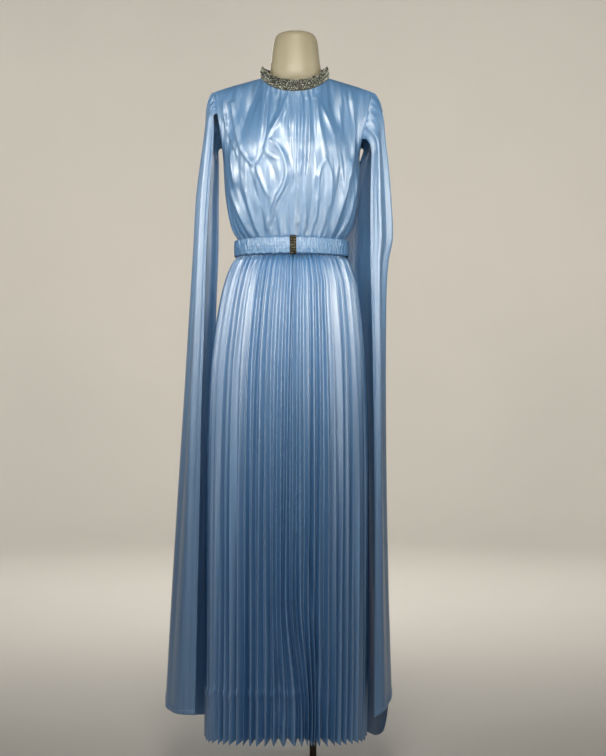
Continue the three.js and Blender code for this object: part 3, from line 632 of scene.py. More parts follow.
def clouded(name, cloud, stops, rough=None, relief=None, grain=None, **sockets):
    """A material whose colour follows a soft noise, cloud, over the stops of a ramp. Its roughness may
    follow the same noise, and its relief the same or a finer one, grain."""
    material, tree, shader = new_material(name, **sockets)
    place = add_node(tree, "ShaderNodeTexCoord")
    noise = add_node(tree, "ShaderNodeTexNoise", cloud)
    shade = add_node(tree, "ShaderNodeValToRGB")
    ramp_colours(shade, *stops)
    wire(
        tree,
        (place, "Object", noise, "Vector"),
        (noise, "Fac", shade, "Fac"),
        (shade, "Color", shader, "Base Color"),
    )
    if rough:
        span = add_node(tree, "ShaderNodeMapRange", {"To Min": rough[0], "To Max": rough[1]})
        wire(tree, (noise, "Fac", span, "Value"), (span, "Result", shader, "Roughness"))
    if relief:
        if grain:
            noise = add_node(tree, "ShaderNodeTexNoise", grain)
            wire(tree, (place, "Object", noise, "Vector"))
        bump = add_node(tree, "ShaderNodeBump", {"Strength": relief, "Distance": 0.0002})
        wire(tree, (noise, "Fac", bump, "Height"), (bump, "Normal", shader, "Normal"))
    return material


def matt_cloth(name, colour):
    """Thread or plain woven cloth."""
    stops = (0.35, tinted(colour, 0.75)), (0.65, tinted(colour, 1.15))
    return clouded(name, WEAVE, stops, relief=0.4, roughness=0.6, sheen_weight=0.3)


def metal(name, colour, rough, worn, scale):
    """Cast or drawn metal with fine brushing and lighter worn places."""
    wear = {"Scale": scale, "Detail": 6.0, "Roughness": 0.65}
    stops = (0.35, colour), (0.75, worn)
    return clouded(name, wear, stops, (rough - 0.08, rough + 0.12), relief=0.2, metallic=1.0)


def lacquer(name, colour):
    """The form's smooth cream shell."""
    stops = (0.3, tinted(colour, 0.94)), (0.7, tinted(colour, 1.03))
    return clouded(
        name, {"Scale": 14.0, "Detail": 4.0}, stops, (0.34, 0.5), 0.12, WEAVE,
        coat_weight=0.15, coat_roughness=0.3,
    )


def plaster(name, colour):
    """The room's painted wall."""
    stops = (0.3, tinted(colour, 0.97)), (0.7, tinted(colour, 1.02))
    return clouded(name, {"Scale": 0.7, "Detail": 4.0}, stops, roughness=0.85)


def beads_with_painted_glints(name, dark, light, metal, rough, scale):
    """Beads and stones, each a little different from its neighbours; the lighter ones, up to a fifth past the
    light colour, are painted glints.
    """
    material, tree, shader = new_material(name, metallic=metal, coat_weight=0.6, coat_roughness=0.08)
    place = add_node(tree, "ShaderNodeTexCoord")
    cells = add_node(tree, "ShaderNodeTexVoronoi", {"Scale": scale})
    grime = add_node(tree, "ShaderNodeTexNoise", {"Scale": scale * 3, "Detail": 2.0})
    grey = add_node(tree, "ShaderNodeRGBToBW")
    shade = add_node(tree, "ShaderNodeValToRGB")
    # painted glints: each cell's tone runs from the dark colour to the light one and a fifth past it; the
    # light end stands in for sparkle
    ramp_colours(shade, (0.15, dark), (0.55, light), (0.9, tinted(light, 1.2)))
    rough_range = add_node(tree, "ShaderNodeMapRange", {"To Min": rough, "To Max": rough + 0.2})
    wire(
        tree,
        (place, "Object", cells, "Vector"),
        (cells, "Color", grey, "Color"),
        (grey, "Val", shade, "Fac"),
        (shade, "Color", shader, "Base Color"),
        (place, "Object", grime, "Vector"),
        (grime, "Fac", rough_range, "Value"),
        (rough_range, "Result", shader, "Roughness"),
    )
    return material


# ---------------------------------------------------------------- geometry nodes
def new_tree(name, **inputs):
    """A geometry node tree with a mesh going in and out and named inputs, each a kind and a default."""
    tree = bpy.data.node_groups.new(name, "GeometryNodeTree")
    face = tree.interface
    face.new_socket(name="Geometry", in_out="INPUT", socket_type="NodeSocketGeometry")
    face.new_socket(name="Geometry", in_out="OUTPUT", socket_type="NodeSocketGeometry")
    for label, (kind, value) in inputs.items():
        label = label.replace("_", " ")
        socket = face.new_socket(name=label, in_out="INPUT", socket_type=f"NodeSocket{kind}")
        if value is not None:
            socket.default_value = value
    start = tree.nodes.new("NodeGroupInput")
    end = tree.nodes.new("NodeGroupOutput")
    return tree, start, end


def run_tree(piece, tree, **values):
    """Puts a tree on a piece with its inputs set, and turns the result into a plain mesh."""
    nodes = piece.modifiers.new(tree.name, "NODES")
    nodes.node_group = tree
    by_name = {item.name: item.identifier for item in tree.interface.items_tree if item.in_out == "INPUT"}
    for label, value in values.items():
        nodes[by_name[label.replace("_", " ")]] = value
    return applied(piece)


def named(tree, name, kind):
    """A node that reads a piece's attribute."""
    node = add_node(tree, "GeometryNodeInputNamedAttribute", data_type=kind)
    node.inputs["Name"].default_value = name
    return node


def finish_tree(tree, start, end, last, output="Geometry"):
    """Ends a tree in Realize Instances and Set Material."""
    real = add_node(tree, "GeometryNodeRealizeInstances")
    paint = add_node(tree, "GeometryNodeSetMaterial")
    wire(
        tree,
        (last, output, real, "Geometry"),
        (real, "Geometry", paint, "Geometry"),
        (start, "Material", paint, "Material"),
        (paint, "Geometry", end, "Geometry"),
    )
    return tree


def pleat_tree():
    """Folds a smooth panel up and down along its outward direction. fold counts the folds, even ones
    outside, depth is the height from an outer to an inner fold, and soft rounds it to a wave."""
    tree, start, end = new_tree(
        "accordion pleats", Edge_round=("Float", 0.1), Depth_share=("Float", 1.0), Material=("Material", None)
    )
    fold, depth = named(tree, "fold", "FLOAT"), named(tree, "depth", "FLOAT")
    soft, outward = named(tree, "soft", "FLOAT"), named(tree, "outward", "FLOAT_VECTOR")
    zigzag = add_node(tree, "ShaderNodeMath", {1: 1.0}, operation="PINGPONG")
    square = add_node(tree, "ShaderNodeMath", operation="MULTIPLY")
    edge_square = add_node(tree, "ShaderNodeMath", operation="MULTIPLY")
    plus = add_node(tree, "ShaderNodeMath", operation="ADD")
    root = add_node(tree, "ShaderNodeMath", operation="SQRT")
    sharp = add_node(tree, "ShaderNodeMath", operation="SUBTRACT")
    wave = add_node(tree, "ShaderNodeMapRange", interpolation_type="SMOOTHSTEP")
    mixed = add_node(tree, "ShaderNodeMix", data_type="FLOAT")
    height = add_node(tree, "ShaderNodeMath", {0: 0.5}, operation="SUBTRACT")
    deep = add_node(tree, "ShaderNodeMath", operation="MULTIPLY")
    share = add_node(tree, "ShaderNodeMath", operation="MULTIPLY")
    push = add_node(tree, "ShaderNodeVectorMath", operation="SCALE")
    move = add_node(tree, "GeometryNodeSetPosition")
    wire(
        tree,
        (fold, "Attribute", zigzag, 0),
        (zigzag, 0, square, 0),
        (zigzag, 0, square, 1),
        (start, "Edge round", edge_square, 0),
        (start, "Edge round", edge_square, 1),
        (square, 0, plus, 0),
        (edge_square, 0, plus, 1),
        (plus, 0, root, 0),
        (root, 0, sharp, 0),
        (start, "Edge round", sharp, 1),
        (zigzag, 0, wave, "Value"),
        (soft, "Attribute", mixed, 0),
        (sharp, 0, mixed, 2),
        (wave, 0, mixed, 3),
        (mixed, 0, height, 1),
        (height, 0, deep, 0),
        (depth, "Attribute", deep, 1),
        (deep, 0, share, 0),
        (start, "Depth share", share, 1),
        (outward, "Attribute", push, 0),
        (share, 0, push, "Scale"),
        (start, "Geometry", move, "Geometry"),
        (push, 0, move, "Offset"),
    )
    return finish_tree(tree, start, end, move)


def shirring_tree():
    """Crinkles a band into fine uneven upright gathers, held in by rows of elastic."""
    tree, start, end = new_tree(
        "shirring",
        Gathers_per_metre=("Float", 330.0),
        Height=("Float", 0.002),
        Elastic_rows=("Float", 5.0),
        Seed=("Float", 1.0),
        Material=("Material", None),
    )
    place, outward = named(tree, "place", "FLOAT_VECTOR"), named(tree, "outward", "FLOAT_VECTOR")
    stretch = add_node(tree, "ShaderNodeVectorMath", {1: (1.0, 0.14, 0.0)}, operation="MULTIPLY")
    crinkle = add_node(tree, "ShaderNodeTexNoise", {"Detail": 2.0, "Distortion": 0.6}, noise_dimensions="4D")
    centred = add_node(tree, "ShaderNodeMath", {1: 0.5}, operation="SUBTRACT")
    high = add_node(tree, "ShaderNodeMath", operation="MULTIPLY")
    split = add_node(tree, "ShaderNodeSeparateXYZ")
    turns = add_node(tree, "ShaderNodeMath", operation="MULTIPLY")
    angle = add_node(tree, "ShaderNodeMath", {1: 2 * math.pi}, operation="MULTIPLY")
    row = add_node(tree, "ShaderNodeMath", operation="COSINE")
    groove = add_node(tree, "ShaderNodeMath", {1: -0.0001}, operation="MULTIPLY")
    total = add_node(tree, "ShaderNodeMath", operation="ADD")
    push = add_node(tree, "ShaderNodeVectorMath", operation="SCALE")
    move = add_node(tree, "GeometryNodeSetPosition")
    wire(
        tree,
        (place, "Attribute", stretch, 0),
        (stretch, 0, crinkle, "Vector"),
        (start, "Gathers per metre", crinkle, "Scale"),
        (start, "Seed", crinkle, "W"),
        (crinkle, 0, centred, 0),
        (centred, 0, high, 0),
        (start, "Height", high, 1),
        (place, "Attribute", split, 0),
        (split, "Z", turns, 0),
        (start, "Elastic rows", turns, 1),
        (turns, 0, angle, 0),
        (angle, 0, row, 0),
        (row, 0, groove, 0),
        (high, 0, total, 0),
        (groove, 0, total, 1),
        (outward, "Attribute", push, 0),
        (total, 0, push, "Scale"),
        (start, "Geometry", move, "Geometry"),
        (push, 0, move, "Offset"),
    )
    return finish_tree(tree, start, end, move)


def scatter_tree(kind):
    """Sets a bead, a cut stone or a stitch on each point. facing is the way out and along the way that the
    piece lies; sizes vary by a fixed seed."""
    tree, start, end = new_tree(
        f"set {kind}s", Width=("Float", 0.004), Length=("Float", 0.004), Height=("Float", 0.003),
        Unevenness=("Float", 0.1), Seed=("Int", 1), Material=("Material", None),
    )
    facing, along = named(tree, "facing", "FLOAT_VECTOR"), named(tree, "along", "FLOAT_VECTOR")
    if kind == "stone":
        shape = add_node(tree, "GeometryNodeMeshIcoSphere", {"Radius": 0.5, "Subdivisions": 1})
    else:
        shape = add_node(tree, "GeometryNodeMeshUVSphere", {"Radius": 0.5, "Segments": 8, "Rings": 5})
    size = add_node(tree, "ShaderNodeCombineXYZ")
    sized = add_node(tree, "GeometryNodeTransform")
    stand = add_node(tree, "FunctionNodeAxesToRotation", primary_axis="Z", secondary_axis="X")
    low = add_node(tree, "ShaderNodeMath", {0: 1.0}, operation="SUBTRACT")
    high = add_node(tree, "ShaderNodeMath", {0: 1.0}, operation="ADD")
    draw = add_node(tree, "FunctionNodeRandomValue", data_type="FLOAT")
    copies = add_node(tree, "GeometryNodeInstanceOnPoints")
    wire(
        tree,
        (start, "Length", size, "X"),
        (start, "Width", size, "Y"),
        (start, "Height", size, "Z"),
        (shape, "Mesh", sized, "Geometry"),
        (size, "Vector", sized, "Scale"),
        (facing, "Attribute", stand, "Primary Axis"),
        (along, "Attribute", stand, "Secondary Axis"),
        (start, "Unevenness", low, 1),
        (start, "Unevenness", high, 1),
        (low, 0, draw, 2),
        (high, 0, draw, 3),
        (start, "Seed", draw, "Seed"),
        (start, "Geometry", copies, "Points"),
        (sized, "Geometry", copies, "Instance"),
        (stand, "Rotation", copies, "Rotation"),
        (draw, 1, copies, "Scale"),
    )
    return finish_tree(tree, start, end, copies, "Instances")


def folded(name, mesh, tree, attributes, **values):
    """A piece that a tree shapes. Each attribute holds a number or a vector for each point of the mesh,
    and is deleted again, because only the tree needs it."""
    for label, data in attributes.items():
        kind, field = ("FLOAT_VECTOR", "vector") if np.ndim(data) > 1 else ("FLOAT", "value")
        layer = mesh.attributes.new(label, kind, "POINT")
        layer.data.foreach_set(field, np.asarray(data, np.float32).reshape(-1))
    piece = run_tree(new_piece(name, mesh), tree, **values)
    for label in attributes:
        layer = piece.data.attributes.get(label)
        if layer:
            piece.data.attributes.remove(layer)
    return piece


def scattered(name, kind, points, facing, along, finish, smooth_faces=True, **sizes):
    """A piece made of many copies of one small shape, set on points."""
    mesh = bpy.data.meshes.new(name)
    mesh.from_pydata(np.asarray(points).reshape(-1, 3).tolist(), [], [])
    ways = {"facing": np.asarray(facing).reshape(-1, 3), "along": np.asarray(along).reshape(-1, 3)}
    piece = folded(name, mesh, scatter_tree(kind), ways, Material=finish, **sizes)
    if not piece.data.polygons:
        raise RuntimeError(f"{name} has no faces")
    shade_smooth(piece.data, smooth_faces)
    return piece


# ---------------------------------------------------------------- bodice
def bodice_top(side, u):
    """The panel's upper edge: shoulder seam, neckline, shoulder seam."""
    hand = np.sign(u)
    along = np.clip((1 - np.abs(u)) / SHOULDER_SHARE, 0, 1)
    neck_x = NECK_HALF + hand * NECK_X
    tip = SHOULDER_TIP
    seam = places(
        hand * (tip[0] + (neck_x - tip[0]) * along),
        tip[1] * (1 - along),
        tip[2] + (NECK_SIDE_Z - tip[2]) * along**0.85,
    )
    angle = np.clip(u / (1 - SHOULDER_SHARE), -1, 1) * math.pi / 2
    neckline = neck_ring(np.where(side > 0, angle, np.pi - angle))
    return np.where((along < 1)[..., None], seam, neckline)


def neck_ring(angle, inset=0.0):
    """Points of the neckline, the angle as in on_section."""
    front = np.cos(angle) > 0
    centre_y = np.where(front, -NECK_FRONT[0], NECK_BACK[0]) - inset
    centre_z = np.where(front, NECK_FRONT[1], NECK_BACK[1])
    z = NECK_SIDE_Z + (centre_z - NECK_SIDE_Z) * np.abs(np.cos(angle)) ** NECK_DIP
    return places(NECK_X + (NECK_HALF - inset) * np.sin(angle), -centre_y * np.cos(angle), z)


def bodice_base(side):
    """The smooth panel: v runs from the waist (0) over the underarm to the shoulders (1)."""

    def surface(u, v):
        u, v = np.broadcast_arrays(np.asarray(u, float), np.asarray(v, float))
        angle = u * math.pi / 2 if side > 0 else math.pi - u * math.pi / 2
        height = UNDERARM_Z - WAIST_Z
        z = WAIST_Z + SEAM / 2 + height * np.minimum(v / UNDERARM_V, 1)
        low = on_section(BODICE, z, angle)
        inside = np.clip(u, -1, 1)
        share = np.clip((v - UNDERARM_V) / (1 - UNDERARM_V), 0, 1)
        foot = on_section(BODICE, np.full(u.shape, UNDERARM_Z), angle)
        top = bodice_top(side, inside)
        edge = smooth(0.72, 1, np.abs(inside))
        seamed = smooth(1 - SHOULDER_SHARE - 0.12, 1 - SHOULDER_SHARE + 0.12, np.abs(inside))
        scoop = 0.052 if side > 0 else 0.046
        rise = places(0 * edge, -side * scoop * edge, 0.062 - 0.034 * edge)
        over = places(
            np.sign(inside) * 0.006 * edge,
            side * (0.016 + 0.034 * seamed - 0.014 * edge),
            0.034 - 0.016 * seamed + 0.014 * edge,
        )
        high = bezier(share, foot, foot + rise, top - over, top)
        return np.where((v <= UNDERARM_V)[..., None], low, high)

    return surface


RIPPLE_HEIGHT, STREAK_HEIGHT = 0.0005, 0.00035  # the two finest waves of the bodice's cloth
WAIST_REACH, NECK_REACH = 0.48, 0.28  # how far the gathers run from the belt and the neckband
BACK_NECK = 0.35  # the gathers under the neckband at the back, as a share of the front's


def bodice_lift(side, u, v, base, settings):
    """Height of the gathers and folds over the smooth panel."""
    ease = 1 - smooth(0.9, 1, np.abs(u))
    height = settings.gather_height
    waist = gathers((u + 1) / 2, v, settings.waist_gathers, WAIST_REACH, 11 + side)
    waist = (waist - 0.45) * height * (2.3 - 1.6 * smooth(0.0, 0.42, v)) * smooth(-0.02, 0.02, v)
    x, z = base[..., 0], base[..., 2]
    folds = sum(fold_height(fold, x, z) for fold in (FRONT_FOLDS if side > 0 else BACK_FOLDS))
    folds = folds * (1 - smooth(0.93, 1, v)) * smooth(0, 0.06, v)
    neck_share = u / (1 - SHOULDER_SHARE)
    under_neck = 1 - smooth(0.72, 1.0, np.abs(neck_share))
    neck = gathers((neck_share + 1) / 2, 1 - v, settings.neck_gathers, NECK_REACH, 31 + side)
    neck = (neck - 0.4) * height * under_neck * (1.0 if side > 0 else BACK_NECK)
    neck = neck * smooth(0.56, 0.80, v)
    ripple = RIPPLE_HEIGHT * np.sin(41 * u + 3 * v + 2 * np.sin(9 * v + 4 * u))
    ripple = ripple * smooth(0, 0.1, v) * (1 - smooth(0.9, 1, v))
    patches = smooth(-0.4, 0.8, np.sin(7 * u + 11 * v))
    streaks = STREAK_HEIGHT * np.sin(103 * u + 4 * v + 3 * np.sin(8 * v + 3 * u)) * patches
    streaks = streaks * smooth(0, 0.06, v) * (1 - smooth(0.85, 0.97, v))
    return (waist + neck + folds + ripple + streaks) * ease


def waist_to_shoulder(rows):
    """Shares of a bodice panel's height, closer together at the belt."""
    steps = np.linspace(0, 1, rows)
    return steps - 0.10 * np.sin(2 * np.pi * np.minimum(steps, 0.5)) * (1 - steps)


def keep_side(points, side):
    """Keeps a panel on its own side of the side and shoulder seams."""
    y = points[..., 1]
    points[..., 1] = np.minimum(y, -SEAM / 2) if side > 0 else np.maximum(y, SEAM / 2)
    return points


def bodice_panel(side, cloth, settings, finish):
    """The front (1) or back (-1) panel."""
    name = "bodice_front" if side > 0 else "bodice_back"
    columns, rows = (224, 170) if side > 0 else (180, 140)
    u, v = np.meshgrid(np.linspace(-1, 1, columns), waist_to_shoulder(rows))
    surface = bodice_base(side)
    base = surface(u, v)
    normals = normals_of(surface, u, v, side)
    flat = v <= 0.06
    normals[flat, 2] = 0
    normals = unit(normals)
    points = keep_side(base + normals * bodice_lift(side, u, v, base, settings)[..., None], side)
    piece = cloth_piece(name, points, (0.62, 0.42), side, finish, cloth.thickness)
    piece.name = f"{name}_cloth"
    declare(piece, "satin", name)
    return piece


# ---------------------------------------------------------------- skirt
PAINTED_PLEAT_SHADE = (0.88, 0.99, 1.04)  # painted shade: the skirt's colour is made bluer and darker because the pleats shade each other
SWING_ANGLE, SWING_CENTRE, SWING_WIDTH = math.radians(7.5), math.radians(5), math.radians(12)
SOFT_PLEATS = 0.45  # height below the waist over which the pleats are still rounded


def pleat_share(fold, pleats, crowding):
    """Where a fold stands across the panel, from -1 to 1."""
    k = fold - pleats
    uneven = (0.22 * np.sin(2.4 * k) + 0.14 * np.sin(5.3 * k + 1)) * smooth(pleats, pleats - 1.5, np.abs(k))
    even = (k + uneven) / pleats
    return even - crowding / math.pi * np.sin(math.pi * even)


def skirt_levels(rows):
    """Heights of the skirt's rows, closer together under the belt and at the hem."""
    steps = np.linspace(0, 1, rows)
    eased = steps - 0.115 * np.sin(2 * np.pi * steps)
    return WAIST_Z - SEAM / 2 + (HEM_Z - WAIST_Z + SEAM / 2) * eased


def skirt_panel(side, cloth, settings, finish):
    """The front (1) or back (-1) panel. It is made smooth, and a tree folds it."""
    name = "skirt_front" if side > 0 else "skirt_back"
    per_pleat, rows = (12, 128) if side > 0 else (10, 110)
    pleats = settings.pleats
    fold = np.linspace(0, 2 * pleats, pleats * per_pleat + 1)
    fold, level = np.meshgrid(fold, skirt_levels(rows))
    down = (WAIST_Z - level) / (WAIST_Z - HEM_Z)
    inner = smooth(0, 2, fold) * smooth(2 * pleats, 2 * pleats - 2, fold)
    drift = 0.16 * np.sin(3.1 * down + 0.7 * fold) + 0.10 * np.sin(7.3 * down + 1.9 * fold)
    whole = np.arange(2 * pleats + 1)
    shares = pleat_share(whole, pleats, settings.crowding)
    u = np.interp(fold + drift * inner * smooth(0, 0.15, down), whole, shares)
    angle = u * math.pi / 2
    if side > 0:
        near = (angle - SWING_CENTRE) / SWING_WIDTH
        angle = angle + SWING_ANGLE * np.exp(-near * near) * smooth(0.440, 0.140, level)
    else:
        angle = math.pi - angle
    rise = settings.front_rise * np.maximum(0, np.cos(angle)) ** 2
    z = level + rise * smooth(0.600, HEM_Z, level)
    depth = column(SKIRT, "depth", z)
    base = on_section(SKIRT, z, angle, depth / 2)
    ahead, behind = np.roll(base, -1, axis=1), np.roll(base, 1, axis=1)
    ahead[:, -1], behind[:, 0] = base[:, -1], base[:, 0]
    outward = unit(np.cross(ahead - behind, np.array([0, 0, -1.0]))) * (-side)
    pleat = np.floor(fold / 2 + 0.5)
    varied = 1 + 0.16 * np.sin(2.7 * pleat + 1.3) + 0.10 * np.sin(1.3 * pleat + 4 * down)
    inside = np.minimum(varied, 1.0)
    zig = np.abs((fold % 2) - 1)
    inner_share = 1 - zig
    base[..., 2] += settings.tooth * inner_share * smooth(HEM_Z + 0.10, HEM_Z, level)
    kink = 0.0040 * np.exp(-(((level - 0.205 - 0.004 * np.sin(fold * 1.7)) / 0.006) ** 2)) * (u < 0.05)
    deep = sum(fold_height(row, base[..., 0], base[..., 2]) for row in SKIRT_FOLDS) if side > 0 else 0 * kink
    base += outward * (kink + deep)[..., None]
    attributes = {
        "fold": fold.reshape(-1),
        "depth": (depth * inside).reshape(-1),
        "soft": (1 - smooth(0.012, SOFT_PLEATS, WAIST_Z - level)).reshape(-1),
        "outward": outward.reshape(-1, 3),
    }
    piece = folded(
        f"{name}_cloth", grid_mesh(name, base, (pleats * 0.045, 1.12), -side), pleat_tree(), attributes,
        Edge_round=settings.edge_round, Depth_share=1.0, Material=finish,
    )
    points = np.array([vertex.co for vertex in piece.data.vertices]).reshape(rows, -1, 3)
    piece.data.vertices.foreach_set("co", keep_side(points, side).reshape(-1))
    shade_smooth(piece.data)
    solidify(piece, cloth.thickness)
    applied(piece)
    declare(piece, "pleated_satin", name)
    return piece


# ---------------------------------------------------------------- cape sleeves
def sleeve_section(side, table, u, z):
    """Points of a sleeve's section: its front edge is at u = -1, its outer fold at 0."""
    angle = np.clip(u, -1, 1) * math.pi / 2
    outer = column(table, "outer", z) - 0.0055
    front = np.asarray(u) < 0
    edge = np.where(front, column(table, "front", z), column(table, "back", z))
    depth = np.where(front, -column(table, "front_y", z), column(table, "back_y", z))
    return places(side * (edge + (outer - edge) * np.cos(angle)), depth * np.sin(angle), z)


# Where a sleeve's edges start, as shares up the armhole: the front edge of the right (-1) and
# the left (1) sleeve, and the back edge of both.
FRONT_NOTCH = {-1: 0.62, 1: 0.30}
BACK_NOTCH = 0.22


def armhole(side, u):
    """The armhole's edge of the two bodice panels, where the sleeve's head is sewn on."""
    front = u < 0
    notch = np.where(front, FRONT_NOTCH[side], BACK_NOTCH)
    share = 1 - np.abs(u) * (1 - notch)
    v = UNDERARM_V + (1 - UNDERARM_V) * share
    edges = []
    for panel_side in (1, -1):
        panel = bodice_base(panel_side)
        at = np.full(np.shape(u), float(side))
        outwards = normals_of(panel, at, v)
        outwards[..., 2] = 0
        outwards *= np.where(outwards[..., :1] * side < 0, -1, 1)
        lap = smooth(0.1, 0.6, u)
        edge = panel(at, v) + outwards * ((WALL + SEAM) * lap)[..., None]
        edge[..., 0] += side * (SEAM + 0.0006) * (1 - lap)
        edges.append(edge)
    return np.where(front[..., None], edges[0], edges[1])


HEAD_V = 0.1  # the part of a sleeve's sheet that is its head


def sleeve_base(side, table, hems, drop_height):
    """The smooth sheet: v runs from the armhole (0) to the hem (1)."""

    def surface(u, v):
        u, v = np.broadcast_arrays(np.asarray(u, float), np.asarray(v, float))
        u = np.clip(u, -1, 1)
        start = armhole(side, u)
        tucked = np.clip(-v / HEAD_V, 0, 1)[..., None] * places(-side * 0.05 + 0 * u, -0.02 * u, -0.012)
        drop = drop_height * (1 - 0.35 * np.abs(u))
        head_z = start[..., 2] - drop
        foot = sleeve_section(side, table, u, head_z)
        out = start + places(side * 0.011 + 0 * u, 0.008 * u, 0.0015)
        down = foot + places(0 * u, 0, drop * 0.55)
        head = bezier(np.clip(v / HEAD_V, 0, 1), start, out, down, foot)
        hem = column(hems, "hem", (u + 1) / 2)
        z = head_z + (hem - head_z) * np.clip((v - HEAD_V) / (1 - HEAD_V), 0, 1)
        return np.where((v < HEAD_V)[..., None], head, sleeve_section(side, table, u, z)) + tucked

    return surface


def sleeve_lift(side, u, v, folds):
    """Height of the head's gathers and the long folds."""
    head = gathers((u + 1) / 2, v, 15, 0.16, 53 + side)
    total = (head - 0.45) * 0.0030 * smooth(0.0, 0.02, v) * (1 - smooth(0.1, 0.2, v) * 0.5)
    for top, low, width, height, deepest, reach in folds:
        centre = top + (low - top) * v + 0.012 * np.sin(5.0 * v + 9 * top)
        away = (u - centre) / (width * (0.85 + 0.35 * v))
        along = np.exp(-(((v - deepest) / reach) ** 2))
        total = total + height * np.exp(-away * away) * along * smooth(0.02, 0.12, v)
    return total


def sleeve_panel(side, table, hems, folds, cloth, settings, finish, thread):
    """One cape sleeve with its stitched hem."""
    name = "sleeve_right" if side < 0 else "sleeve_left"
    surface = sleeve_base(side, table, hems, settings.head_drop)
    head = np.concatenate([[-0.012, -0.004], np.linspace(0, 1, 30) ** 1.3 * 0.14])
    body = np.linspace(0.14, 0.985, 150)[1:]
    length = 1.39
    hem = 1 - settings.hem_depth / length
    end = [0.9885, hem - 0.0012, hem, hem + 0.0012, hem + 0.003, 0.9985, 1.0]
    u, v = np.meshgrid(np.linspace(-1, 1, 130), np.concatenate([head, body, end]))
    base = surface(u, v)
    normals = normals_of(surface, u, v, -side)
    doubled = 0.0007 * smooth(hem - 0.0006, hem + 0.0006, v)
    pull = 0.0006 * np.exp(-(((v - hem) / 0.002) ** 2)) * np.sin(210 * u)
    lift = sleeve_lift(side, u, v, folds) + doubled + pull
    points = base + normals * lift[..., None]
    piece = cloth_piece(name, points, (0.52, length), -side, finish, cloth.thickness)
    piece.name = f"{name}_cloth"
    declare(piece, "satin", name)

    count = 130
    across = np.linspace(-0.985, 0.985, count)
    at = np.full(count, hem + 0.0006)
    seat = surface(across, at)
    out = normals_of(surface, across, at, -side)
    seat = seat + out * (sleeve_lift(side, across, at, folds) + 0.0008)[:, None]
    along = unit(np.gradient(seat, axis=0))
    stitches = scattered(
        f"{name}_hem_stitches", "stitch", seat, out, along, thread,
        Width=0.0005, Length=settings.stitch, Height=0.0006, Unevenness=0.08, Seed=3,
    )
    declare(stitches, "satin")
    return piece


# ---------------------------------------------------------------- neckband, belt, clasp
def band_point(angle, up, lift=0.0):
    """Points of the neckband, up its height from 0 to 1."""
    foot = neck_ring(angle, 0.003 * up)
    foot[..., 2] += 0.0004 + WALL / 2 + 0.025 * up
    away = unit(places(np.sin(angle), -np.cos(angle), 0 * angle))
    return foot + away * (lift + 0.0012 * np.sin(np.pi * up))[..., None]


def bead_rows(rows, count, lift, shift=0.0):
    """Seats of beads on the neckband, in rows given as shares of its height."""
    seats, facings, alongs = [], [], []
    for i, up in enumerate(rows):
        angle = 2 * np.pi * (np.arange(count) + shift + 0.5 * (i % 2)) / count
        wave = up + 0.022 * np.sin(23 * angle + 2 * i)
        seats.append(band_point(angle, np.clip(wave, 0, 1.04), lift))
        facings.append(places(np.sin(angle), -np.cos(angle), 0.12 + 0 * angle))
        alongs.append(places(np.cos(angle), np.sin(angle), 0 * angle))
    return np.concatenate(seats), unit(np.concatenate(facings)), unit(np.concatenate(alongs))


class DRESS_OT_neckband(bpy.types.Operator):
    """Makes the beaded neckband"""

    bl_idname = "dress.neckband"
    bl_label = "Neckband"

    def execute(self, context):
        trim = context.scene.dress_trim
        angle, up = np.meshgrid(np.linspace(0, 2 * np.pi, 240, endpoint=False), np.linspace(0, 1, 9))
        points = band_point(angle, up, -0.0006 + 0 * angle)
        backing = matt_cloth("neckband ground", (0.018, 0.019, 0.018))
        band = cloth_piece("neckband_ground", points, (0.45, 0.025), 1, backing, 0.0018, ring=True)
        declare(band, "beads", "neckband")
        # painted glints: the light colours of these beads and stones are partly their own silver and smoky
        # tone, partly painted sparkle
        silver = beads_with_painted_glints("silver beads", (0.008, 0.009, 0.007), (0.34, 0.34, 0.28), 0.85, 0.20, 260)
        crystal = beads_with_painted_glints("smoky stones", (0.006, 0.007, 0.007), (0.30, 0.33, 0.28), 0.6, 0.12, 230)
        bead, stone = trim.bead, trim.stone
        count = int(2 * math.pi * 0.071 / (bead * 1.25))
        # Kind, finish, rows up the band, how many in a row, width, length and height, and lift.
        groups = {
            "neckband_beads": (
                "bead", silver, (0.08, 0.22, 0.78, 0.93), count,
                (bead * 1.1, bead * 1.1, bead), 0.0006,
            ),
            "neckband_stones": (
                "stone", crystal, (0.5,), int(count * bead / stone * 1.02),
                (stone, stone * 1.15, stone * 0.7), 0.0012,
            ),
            "neckband_spacers": (
                "bead", silver, (0.36, 0.64), int(count * 0.8),
                (bead * 0.8, bead * 0.8, bead * 0.7), 0.0010,
            ),
        }
        for name, (kind, finish, rows, many, (width, length, height), lift) in groups.items():
            seats, facing, along = bead_rows(rows, many, lift)
            piece = scattered(
                name, kind, seats, facing, along, finish, kind == "bead",
                Width=width, Length=length, Height=height, Unevenness=0.16, Seed=trim.seed,
            )
            declare(piece, "beads")
        return {"FINISHED"}


BELT_HALF, BELT_FRONT, BELT_BACK, BELT_X = 0.131, 0.105, 0.099, -0.003
BELT_WALL = 0.0022
CLASP_X, CLASP_WIDTH = 0.001, 0.015


